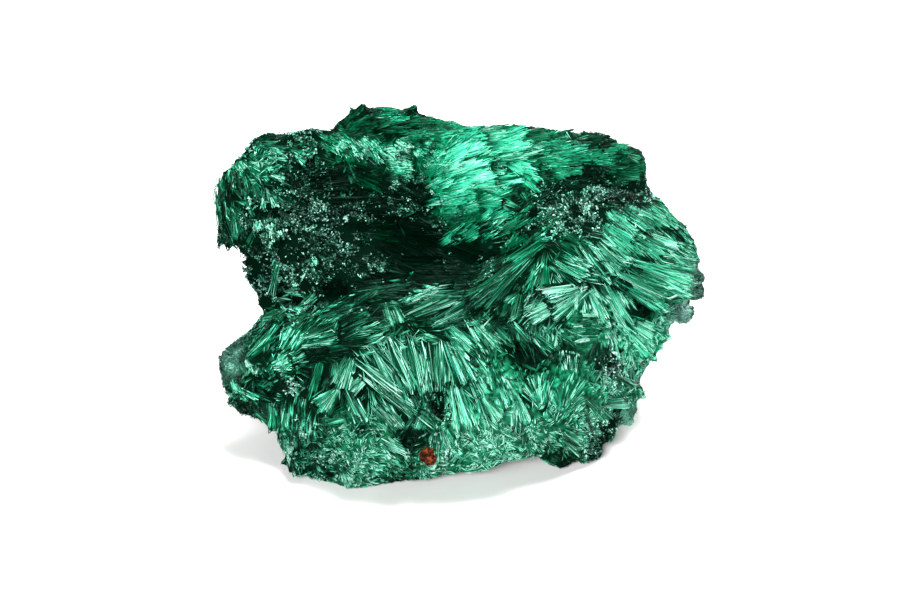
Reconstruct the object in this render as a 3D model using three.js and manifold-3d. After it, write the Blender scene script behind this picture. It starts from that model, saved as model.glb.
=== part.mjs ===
// A velvet malachite specimen: one lump of radiating, silky copper-carbonate fibres grown together.
// Millimetres, +Z up. It rests on four low spots of its underside, and its best side faces -Y.
// The lump is a closed skin through named spots. Pits are cut into it, nodules and sheaves of flat
// crystal blades are joined to it, and a level cut at the bottom gives the spots that it rests on.

import * as THREE from "three";
import { ConvexHull } from "three/addons/math/ConvexHull.js";
import { ImprovedNoise } from "three/addons/math/ImprovedNoise.js";
import { mergeVertices } from "three/addons/utils/BufferGeometryUtils.js";
import Module from "manifold-3d";

// ---- driving dimensions ----

const LENGTH = 61.5; // along X, from the left columns to the nodules on the right
const SKIN_STEPS = 2; // parts that each side of a triangle of the skin is split into
const ROUGH_COARSE = 0.9; // height of the broad roughness
const ROUGH_FINE = 0.6; // height of the fine roughness
const SHEAF_THICK = 2.4; // from its underside to the edges of its blades
const SHEAF_ROOT_WIDTH = 1.6;
const SHEAF_SINK = 0.1; // how deep the top of its root lies in the lump
const SHEAF_LIFT = 0.8; // how far its tip stands off the lump
const BLADE_HEIGHT = 0.55; // from the groove beside a blade to its edge
const BLADE_REACH = 0.88; // how far along a blade the groove beside it goes
const HIDDEN_SHEAVES = 84; // all the way round, of which those at the back are kept

// ---- the view that the spots were read from ----

const VIEW_RISE = THREE.MathUtils.degToRad(27); // the eye's height above the horizon
const VIEW_DISTANCE = 320; // from the eye to the aim
const VIEW_AIM = new THREE.Vector3(0, 0, 16.5);
const VIEW_MIDDLE = [450, 300]; // the picture's middle, in its own units
const VIEW_LENGTH = 492; // the specimen's length in the same units
const VIEW_UNITS_PER_MM = VIEW_LENGTH / LENGTH;

const TOWARDS_EYE = new THREE.Vector3(0, -Math.cos(VIEW_RISE), Math.sin(VIEW_RISE));
const VIEW_UP = new THREE.Vector3(0, Math.sin(VIEW_RISE), Math.cos(VIEW_RISE));
const EYE = VIEW_AIM.clone().addScaledVector(TOWARDS_EYE, VIEW_DISTANCE);

// The direction from the eye to a place in the view.
function sight([across, down]) {
  const right = (across - VIEW_MIDDLE[0]) / VIEW_UNITS_PER_MM;
  const up = (VIEW_MIDDLE[1] - down) / VIEW_UNITS_PER_MM;
  const target = VIEW_AIM.clone().addScaledVector(VIEW_UP, up);
  target.x += right;
  return target.sub(EYE).normalize();
}

// The point at a place in the view that lies this far back.
function seenPoint([across, down, back]) {
  const ray = sight([across, down]);
  return EYE.clone().addScaledVector(ray, (back - EYE.y) / ray.y);
}

// ---- the lump's spots ----

// Each spot is [across, down] in the view, and how far back it lies in mm.
const OUTLINE = {
  backRidgeFoot: [332, 129, 18.5],
  backRidgeEnd: [340, 117, 21],
  backRidgeShoulder: [350, 106, 21.6],
  backRidgePeak: [364, 105, 22],
  backRidgeTop: [398, 107, 22],
  backRidgeDip: [415, 110, 22],
  backRidgeRight: [433, 116, 21],
  skylineLeft: [468, 125, 21],
  skylineMiddle: [514, 123, 21],
  skylineRight: [575, 131, 20],
  skylineShoulder: [612, 135, 18],
  skylineCorner: [633, 144, 16.4],
  farCorner: [645, 156, 14.4],
  farCornerEdge: [646, 173, 12],
  saddleEdge: [655, 193, 9],
  flankTop: [671, 211, 6],
  flankShoulder: [694, 236, 3],
  flankPoint: [701, 261, 1],
  flankLip: [688, 292, 0],
  rightWaist: [666, 336, 0],
  rightLower: [653, 357, -1],
  rightHip: [641, 378, -2],
  rightToe: [635, 409, -2.5],
  rightToeEdge: [618, 427, -5.5],
  rightHeel: [600, 447, -8.6],
  rightFoot: [563, 469, -13.9],
  archEnd: [537, 457, -13],
  archRight: [505, 462, -15.5],
  archMiddle: [470, 473, -17],
  archLeft: [425, 480, -17.5],
  leftFootRight: [385, 484, -17.1],
  leftFoot: [348, 491, -18.2],
  leftFootEdge: [316, 482, -16.3],
  leftHeel: [284, 459, -13],
  underLobeRight: [280, 447, -11.7],
  underLobe: [276, 431, -9.9],
  underLobeLeft: [259, 420, -9.1],
  lobeBottom: [241, 415, -9],
  lobeEdge: [226, 404, -8.6],
  lobeSide: [223, 390, -8],
  lobeTip: [218, 356, -6.5],
  lobeShoulder: [229, 343, -5.2],
  lobeTop: [242, 334, -4],
  notchLow: [257, 320, -2],
  notch: [260, 305, 0],
  leftWaist: [244, 276, 3],
  leftWall: [237, 250, 4],
  leftColumns: [216, 225, 6],
  leftColumnsTop: [212, 199, 8],
  leftShoulderLow: [214, 184, 9.4],
  leftShoulderMiddle: [217, 176, 10.3],
  leftShoulder: [223, 168, 11],
  leftShoulderHigh: [236, 156, 12.6],
  leftCrown: [245, 145, 14],
  crown: [262, 132, 16],
  crownMiddle: [292, 131, 16.5],
  crownRight: [328, 135, 17],
};

const FRONT = {
  flankFace: [655, 250, -2],
  crestRight: [610, 196, 3],
  crestFace: [600, 245, -5],
  crestMiddle: [562, 215, -1],
  crestLow: [522, 248, -4],
  fanFace: [560, 292, -10],
  rightFace: [620, 300, -8],
  rightCheek: [645, 322, -5],
  browRight: [520, 318, -14],
  brow: [470, 325, -14.5],
  browLeft: [420, 325, -13],
  stemRight: [470, 290, -8],
  stemMiddle: [425, 290, -7],
  stemLeft: [368, 290, -6],
  rimLeft: [312, 302, -5],
  brushLeft: [372, 340, -12.5],
  sideTop: [322, 330, -10],
  sideEdge: [290, 338, -9],
  sideFace: [330, 380, -14.5],
  sideLow: [292, 382, -12],
  handFace: [400, 388, -19],
  bellyTop: [460, 378, -20],
  bellyRight: [520, 370, -18.5],
  bellyFar: [580, 362, -14],
  cheekLow: [618, 362, -9],
  jowl: [600, 408, -11],
  chinRight: [550, 420, -17],
  chin: [490, 425, -20.5],
  chinMiddle: [430, 440, -20.5],
  chinLeft: [360, 452, -21],
  footFace: [312, 440, -17],
  handLow: [350, 412, -18.5],
  lobeFace: [250, 372, -10],
};

const TOP = {
  silkHigh: [480, 158, 15],
  silkRight: [560, 162, 14],
  silkFar: [610, 165, 12],
  silkLow: [500, 200, 10.5],
  silkLeft: [440, 200, 11.5],
  valleyRight: [590, 186, 11],
  valley: [540, 205, 9.5],
  basinFar: [400, 225, 12.5],
  basinSilk: [375, 185, 13],
  basinMiddle: [440, 250, 9],
  basinNear: [480, 268, 3.5],
  hollow: [345, 278, 7.5],
  druseHigh: [320, 182, 12],
  druseMiddle: [300, 230, 9],
  druseLow: [272, 262, 5],
  druseFoot: [285, 290, 2],
  columnsFace: [248, 207, 5.5],
  crownFace: [272, 160, 12.5],
  terrace: [360, 148, 16],
  ridgeFace: [400, 128, 19],
  ridgeStep: [438, 140, 17.5],
  silkStep: [436, 160, 14.5],
};

// Spots that the view doesn't reach: across, back and up, in mm.
const HIDDEN = {
  backCrown: [-20, 22, 24],
  backLeftHigh: [-10, 27, 26],
  backMiddleHigh: [1, 26, 25],
  backRightHigh: [12, 26, 24],
  backCornerHigh: [20, 20, 24],
  backShelfLeft: [-15, 24.5, 18],
  backGroove: [-4, 23.5, 19],
  backLedge: [6, 27, 17.5],
  backHollow: [14.5, 21, 16.5],
  backCorner: [25, 14.5, 18],
  backLeft: [-20, 21, 13],
  backMiddle: [-6, 26, 12],
  backRight: [9, 25, 11],
  backKnee: [-13, 20.5, 7],
  backCleft: [1, 20.5, 6.5],
  backCornerLow: [20, 17.5, 9.5],
  rightHollow: [25.5, 10.5, 13],
  rightBack: [28, 6, 16],
  rightBackLow: [25.5, 7, 6],
  leftBack: [-26, 12, 20],
  leftHollow: [-22.5, 12.5, 14.5],
  leftShelf: [-23.2, 6, 12],
  leftBackLow: [-19.5, 10, 7],
  leftUnder: [-20.5, 1, 8],
  backFootLeft: [-10, 17.5, -0.9],
  backFoot: [1, 19, 1.8],
  backFootRight: [12, 15, -0.9],
  rightUnder: [22, 3, 3.5],
  underLeft: [-14, 4, 3.4],
  underMiddle: [0, 0, 1.6],
  underFront: [0, -10, 1.5],
  underRight: [12, 2, 2.4],
  underBack: [1, 9, 1.6],
  underHeel: [-12, -8, 1.1],
};

const HEART = new THREE.Vector3(0, 5.5, 7); // the spots are joined as they're seen from here

// ---- sheaves of blades ----

// Each sheaf is the place of its root and of its tip in the view, and how far it fans out in degrees.
const SHEAVES = {
  leftCrown: [
    [234, 176, 234, 194, 12],
    [236, 170, 240, 196, 12],
    [228, 203, 230, 255, 8],
    [250, 172, 262, 210, 10],
    [268, 190, 275, 214, 34],
    [254, 150, 284, 148, 12],
    [291, 151, 310, 161, 34],
    [255, 225, 282, 236, 26],
    [278, 262, 272, 292, 12],
    [266, 319, 292, 320, 16],
  ],
  backRidge: [
    [345, 126, 372, 111, 22],
    [375, 128, 425, 117, 16],
    [340, 143, 356, 160, 34],
    [372, 138, 396, 160, 34],
    [405, 138, 430, 156, 24],
    [325, 137, 345, 152, 18],
  ],
  silkBand: [
    [438, 165, 490, 140, 20],
    [470, 152, 530, 142, 16],
    [520, 152, 575, 142, 16],
    [560, 154, 605, 152, 20],
    [437, 192, 500, 172, 18],
    [445, 208, 482, 196, 14],
    [450, 225, 510, 206, 14],
    [505, 230, 540, 208, 14],
    [503, 250, 537, 232, 10],
    [590, 167, 632, 162, 16],
  ],
  basin: [
    [308, 190, 360, 182, 14],
    [340, 206, 400, 216, 14],
  ],
  stem: [
    [355, 292, 415, 285, 14],
    [395, 312, 460, 293, 16],
    [430, 325, 472, 303, 12],
    [335, 322, 372, 310, 16],
  ],
  saddle: [
    [543, 238, 468, 312, 12],
    [535, 262, 530, 300, 16],
    [545, 262, 542, 292, 14],
    [510, 300, 500, 324, 12],
    [552, 262, 586, 286, 14],
    [575, 242, 612, 285, 16],
    [595, 240, 628, 270, 16],
    [588, 284, 540, 306, 30],
    [590, 262, 628, 326, 14],
  ],
  flank: [
    [608, 210, 642, 240, 18],
    [640, 206, 670, 232, 16],
    [652, 206, 681, 235, 12],
    [650, 272, 690, 288, 14],
    [615, 275, 665, 302, 14],
    [625, 320, 655, 345, 20],
  ],
  hand: [
    [412, 398, 368, 348, 12],
    [416, 396, 386, 339, 10],
    [420, 394, 403, 337, 10],
    [427, 392, 420, 336, 10],
    [438, 392, 437, 338, 12],
    [420, 414, 353, 363, 6],
    [353, 357, 340, 391, 22],
    [346, 389, 364, 428, 18],
    [374, 402, 400, 429, 12],
    [448, 340, 469, 386, 16],
    [455, 386, 466, 428, 14],
    [470, 366, 487, 398, 16],
    [476, 332, 506, 358, 26],
  ],
  belly: [
    [540, 406, 530, 372, 32],
    [571, 372, 571, 350, 18],
    [560, 412, 584, 378, 32],
    [572, 330, 594, 326, 16],
    [600, 342, 606, 364, 32],
    [612, 374, 634, 402, 16],
  ],
  side: [
    [247, 357, 282, 325, 12],
    [275, 372, 296, 366, 34],
    [302, 345, 345, 332, 16],
    [320, 362, 310, 400, 18],
    [338, 388, 322, 414, 40],
    [232, 386, 260, 402, 16],
    [248, 360, 255, 378, 22],
    [278, 400, 280, 430, 18],
  ],
  chin: [
    [378, 438, 410, 454, 16],
    [440, 420, 446, 455, 34],
    [470, 410, 500, 444, 34],
    [520, 420, 548, 446, 34],
    [300, 440, 297, 468, 34],
    [560, 430, 590, 446, 24],
  ],
};

// ---- nodules and pits ----

// Each is its place in the view, its radius in mm, and how far its middle stands off the lump.
const NODULES = [
  [693, 277, 1.4, 0.1],
  [694, 291, 1.3, 0.1],
  [681, 311, 1.4, 0.1],
  [623, 413, 1.6, 0.1],
  [606, 427, 1.6, 0.1],
  [590, 448, 1.8, 0],
  [446, 411, 1.2, -0.5],
  [300, 458, 1.6, 0],
  [268, 305, 1.3, 0.1],
  [356, 222, 1.5, 0],
  [575, 208, 1.3, 0],
];

const PITS = [
  [334, 290, 2.0, 0.2],
  [312, 300, 1.4, 0.3],
  [525, 352, 1.7, 0.2],
  [526, 366, 1.2, 0.2],
  [634, 305, 1.6, 0.2],
  [618, 332, 1.2, 0.2],
  [679, 300, 1.3, 0.2],
  [408, 437, 1.5, 0.2],
  [440, 405, 1.9, 0.0],
  [466, 458, 1.8, 0.2],
  [507, 439, 1.0, 0.2],
  [335, 351, 1.3, 0.2],
  [265, 388, 1.6, 0.2],
  [307, 382, 1.2, 0.2],
];

// ---- solids ----

const wasm = await Module();
wasm.setup();

const noise = new ImprovedNoise();

function roughness(point, size) {
  return noise.noise(point.x / size + 11.3, point.y / size + 5.7, point.z / size + 8.1);
}

// A repeatable stream of numbers from 0 to 1.
let seed = 20261;

function random() {
  seed = (seed * 16807) % 2147483647;
  return seed / 2147483647;
}

function solidOf(geometry) {
  const bare = geometry.index ? geometry.toNonIndexed() : geometry;
  bare.deleteAttribute("normal");
  bare.deleteAttribute("uv");
  const merged = mergeVertices(bare, 1e-4);
  return new wasm.Manifold(
    new wasm.Mesh({
      numProp: 3,
      vertProperties: new Float32Array(merged.attributes.position.array),
      triVerts: new Uint32Array(merged.index.array),
    }),
  );
}

function meshOf(solid) {
  const mesh = solid.getMesh();
  const geometry = new THREE.BufferGeometry();
  geometry.setAttribute("position", new THREE.BufferAttribute(mesh.vertProperties, 3));
  geometry.setIndex(new THREE.BufferAttribute(mesh.triVerts, 1));
  geometry.computeVertexNormals();
  return new THREE.Mesh(geometry, new THREE.MeshStandardMaterial());
}

// The lump's skin: its spots joined into triangles, each split into smaller ones and roughened.
function lumpGeometry() {
  const seen = [OUTLINE, FRONT, TOP].flatMap((spots) => Object.values(spots).map(seenPoint));
  const hidden = Object.values(HIDDEN).map((place) => new THREE.Vector3(...place));
  const spotOf = new Map();
  for (const spot of [...seen, ...hidden]) {
    spotOf.set(spot.clone().sub(HEART).normalize(), spot);
  }
  const hull = new ConvexHull().setFromPoints([...spotOf.keys()]);
  const corners = [];
  for (const face of hull.faces) {
    const [a, b, c] = [face.edge, face.edge.next, face.edge.prev].map((edge) =>
      spotOf.get(edge.head().point),
    );
    const corner = (i, j) => {
      const place = new THREE.Vector3()
        .addScaledVector(a, 1 - (i + j) / SKIN_STEPS)
        .addScaledVector(b, i / SKIN_STEPS)
        .addScaledVector(c, j / SKIN_STEPS);
      const isSpot = [i, j, i + j].every((step) => step % SKIN_STEPS === 0);
      const rough = ROUGH_COARSE * roughness(place, 5) + ROUGH_FINE * roughness(place, 2.3);
      const way = place.clone().sub(HEART).normalize();
      return place.addScaledVector(way, isSpot ? 0 : rough);
    };
    for (let i = 0; i < SKIN_STEPS; i++) {
      for (let j = 0; i + j < SKIN_STEPS; j++) {
        corners.push(corner(i, j), corner(i + 1, j), corner(i, j + 1));
        if (i + j < SKIN_STEPS - 1) {
          corners.push(corner(i + 1, j), corner(i + 1, j + 1), corner(i, j + 1));
        }
      }
    }
  }
  return new THREE.BufferGeometry().setFromPoints(corners);
}

// A fan of pointed blades side by side, from its root to its tip, as one solid. Its blades' edges
// stand up on the side that it faces.
function sheaf(root, tip, facing, spread) {
  const along = tip.clone().sub(root);
  const length = along.length();
  along.normalize();
  const side = new THREE.Vector3().crossVectors(facing, along).normalize();
  const up = new THREE.Vector3().crossVectors(along, side);
  const blades = spread > 18 ? 3 : 2;
  const half = SHEAF_ROOT_WIDTH / 2;
  const open = THREE.MathUtils.degToRad(spread);
  const edge = (across, reach) => across * (SHEAF_ROOT_WIDTH + 2 * reach * Math.tan(open / 2));
  const ends = [];
  for (let i = 0; i <= 2 * blades; i++) {
    const across = i / (2 * blades) - 0.5;
    const isEdge = i % 2 === 1;
    const reach = length * (isEdge ? 0.95 + 0.15 * random() : BLADE_REACH);
    ends.push([edge(across, reach), isEdge ? BLADE_HEIGHT : 0, reach]);
  }
  const deep = BLADE_HEIGHT - SHEAF_THICK;
  const near = length * BLADE_REACH;
  const last = ends.length - 1;
  const [topLeft, topRight] = [[-half, 0, 0], [half, 0, 0]];
  const [baseLeft, baseRight] = [[-half, deep, 0], [half, deep, 0]];
  const [endLeft, endRight] = [[edge(-0.5, near), deep, near], [edge(0.5, near), deep, near]];
  const faces = [
    [topLeft, ends[blades], topRight],
    [ends[blades], endLeft, endRight],
    [baseLeft, baseRight, endRight],
    [baseLeft, endRight, endLeft],
    [topLeft, baseLeft, endLeft],
    [topLeft, endLeft, ends[0]],
    [topRight, endRight, baseRight],
    [topRight, ends[last], endRight],
    [topLeft, topRight, baseRight],
    [topLeft, baseRight, baseLeft],
  ];
  for (let i = 0; i < last; i++) {
    const isLeft = i < blades;
    faces.push([isLeft ? topLeft : topRight, ends[i], ends[i + 1]]);
    faces.push([ends[i], isLeft ? endLeft : endRight, ends[i + 1]]);
  }
  const corners = faces.flat().map((corner) => new THREE.Vector3(...corner));
  const shape = new THREE.BufferGeometry().setFromPoints(corners);
  shape.applyMatrix4(new THREE.Matrix4().makeBasis(side, up, along).setPosition(root));
  return solidOf(shape);
}

const caster = new THREE.Raycaster();

// Where a ray meets the lump, and which way its skin faces there.
function meet(lump, from, way) {
  caster.set(from, way);
  const hit = caster.intersectObject(lump)[0];
  return hit && { place: hit.point, facing: hit.face.normal.clone() };
}

function seenSheaf(lump, [rootAcross, rootDown, tipAcross, tipDown, spread]) {
  const base = meet(lump, EYE, sight([rootAcross, rootDown]));
  const end = meet(lump, EYE, sight([tipAcross, tipDown]));
  const tip = end ? end.place : seenPoint([tipAcross, tipDown, base.place.y]);
  const facing = end ? base.facing.clone().add(end.facing).normalize() : base.facing;
  // Where the lump bulges between the two ends, the sheaf is raised over it.
  const across = (rootAcross + tipAcross) / 2;
  const halfway = meet(lump, EYE, sight([across, (rootDown + tipDown) / 2]));
  const chord = base.place.clone().add(tip).multiplyScalar(0.5);
  const bulge = halfway ? halfway.place.sub(chord).dot(facing) : 0;
  const raise = THREE.MathUtils.clamp(bulge, 0, SHEAF_THICK / 2);
  const root = base.place.clone().addScaledVector(facing, raise - SHEAF_SINK);
  tip.addScaledVector(facing, raise + SHEAF_LIFT);
  return sheaf(root, tip, facing, spread);
}

// Sheaves over the back and the far sides, on a spiral from pole to pole. The underside is broken
// off plain.
function hiddenSheaves(lump) {
  const turn = Math.PI * (3 - Math.sqrt(5));
  const sheaves = [];
  for (let i = 0; i < HIDDEN_SHEAVES; i++) {
    const up = 1 - (2 * (i + 0.5)) / HIDDEN_SHEAVES;
    const around = Math.sqrt(1 - up * up);
    const way = new THREE.Vector3(Math.cos(i * turn) * around, Math.sin(i * turn) * around, up);
    if (way.dot(TOWARDS_EYE) > -0.1 || way.z < -0.5) {
      continue;
    }
    const far = HEART.clone().addScaledVector(way, 80);
    const base = meet(lump, far, way.clone().negate());
    const lean = new THREE.Vector3(random() - 0.5, random() - 0.5, random() - 0.5);
    lean.addScaledVector(base.facing, -lean.dot(base.facing)).normalize();
    const along = lean.addScaledVector(base.facing, 0.1).normalize();
    const root = base.place.clone().addScaledVector(base.facing, -SHEAF_SINK);
    const tip = root.clone().addScaledVector(along, 4 + 3 * random());
    sheaves.push(sheaf(root, tip, base.facing, 14 + 20 * random()));
  }
  return sheaves;
}

// A rough ball at a place in the view, its middle standing off the lump by this much.
function ball(lump, [across, down, radius, standOff], detail) {
  const base = meet(lump, EYE, sight([across, down]));
  const hit = base ? base.place : seenPoint([across, down, 0]);
  const facing = base ? base.facing : new THREE.Vector3(1, 0, 0);
  const middle = hit.clone().addScaledVector(facing, standOff);
  const shape = new THREE.IcosahedronGeometry(radius, detail);
  const corners = shape.getAttribute("position");
  const corner = new THREE.Vector3();
  for (let i = 0; i < corners.count; i++) {
    corner.fromBufferAttribute(corners, i);
    corner.multiplyScalar(1 + 0.5 * roughness(corner.clone().add(middle), 1.7)).add(middle);
    corners.setXYZ(i, ...corner);
  }
  return solidOf(shape);
}

const lump = meshOf(solidOf(lumpGeometry()));
const sheaves = Object.values(SHEAVES).flatMap((group) =>
  group.map((entry) => seenSheaf(lump, entry)),
);
const balls = NODULES.map((entry) => ball(lump, entry, 1));
const pits = PITS.map((entry) => ball(lump, entry, 0));

let body = solidOf(lumpGeometry());
body = wasm.Manifold.union([body, ...sheaves, ...balls, ...hiddenSheaves(lump)]);
body = body.subtract(wasm.Manifold.union(pits));

// The level cut that it rests on.
const below = new THREE.BoxGeometry(200, 200, 40).translate(0, 0, -20);
body = body.subtract(solidOf(below));

const specimen = meshOf(body);
specimen.name = "malachite_specimen";

// The origin is the middle of its footprint.
specimen.geometry.computeBoundingBox();
const { min, max } = specimen.geometry.boundingBox;
specimen.geometry.translate(-(min.x + max.x) / 2, -(min.y + max.y) / 2, -min.z);

const group = new THREE.Group();
group.add(specimen);

export default group;
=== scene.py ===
"""A velvet malachite specimen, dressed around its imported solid.

The solid gives the lump's form and its main fans. This file makes the ground in place of its
surface and grows on it: the fans that show from the display side, tufts that fill between them and
cover the far sides, matted needles, sparkling druse and one rusty grain. The specimen grew as one
piece, so everything rides on the solid's one body.
"""

import math

import bmesh
import bpy
import numpy as np
from mathutils import Matrix, Vector
from mathutils.bvhtree import BVHTree
from mathutils import noise as land


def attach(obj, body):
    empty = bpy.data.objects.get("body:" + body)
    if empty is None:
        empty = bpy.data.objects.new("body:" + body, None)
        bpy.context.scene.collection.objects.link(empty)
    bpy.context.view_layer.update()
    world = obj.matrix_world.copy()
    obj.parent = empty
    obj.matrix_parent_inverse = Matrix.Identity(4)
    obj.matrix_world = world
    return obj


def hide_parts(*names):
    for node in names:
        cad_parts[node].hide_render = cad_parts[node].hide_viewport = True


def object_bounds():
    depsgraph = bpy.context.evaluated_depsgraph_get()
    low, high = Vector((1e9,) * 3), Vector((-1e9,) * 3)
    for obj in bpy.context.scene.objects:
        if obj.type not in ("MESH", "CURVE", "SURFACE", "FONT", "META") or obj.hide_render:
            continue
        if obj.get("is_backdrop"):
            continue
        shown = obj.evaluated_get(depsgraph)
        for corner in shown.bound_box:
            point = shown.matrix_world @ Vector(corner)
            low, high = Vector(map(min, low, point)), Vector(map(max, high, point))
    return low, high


bl_info = {
    "name": "Velvet malachite specimen",
    "version": (1, 0, 0),
    "blender": (4, 5, 0),
    "location": "View3D > Sidebar > Malachite",
    "description": "Grows the needle fans, druse and ground of a fibrous malachite specimen",
    "category": "Add Mesh",
}

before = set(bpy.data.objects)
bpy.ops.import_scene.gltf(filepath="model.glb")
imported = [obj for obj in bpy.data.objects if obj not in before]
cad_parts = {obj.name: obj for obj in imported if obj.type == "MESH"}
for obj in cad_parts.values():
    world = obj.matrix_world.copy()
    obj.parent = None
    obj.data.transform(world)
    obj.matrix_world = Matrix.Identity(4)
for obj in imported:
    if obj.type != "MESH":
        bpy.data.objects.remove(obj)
CAD_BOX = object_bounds()
SOLID = "malachite_specimen"
MM = 0.001

# The view that places are read from: across and down, with the frame's middle at the aim.
VIEW_RISE = math.radians(27)
VIEW_DISTANCE = 320 * MM
VIEW_AIM = Vector((-0.99, -3.13, 16.5)) * MM
VIEW_MIDDLE = (450, 300)
VIEW_UNIT = 0.125 * MM  # one unit of the view, at the aim
VIEW_WIDTH = 900 * VIEW_UNIT
TOWARDS_EYE = Vector((0, -math.cos(VIEW_RISE), math.sin(VIEW_RISE)))
VIEW_UP = Vector((0, math.sin(VIEW_RISE), math.cos(VIEW_RISE)))
EYE = VIEW_AIM + TOWARDS_EYE * VIEW_DISTANCE

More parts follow.
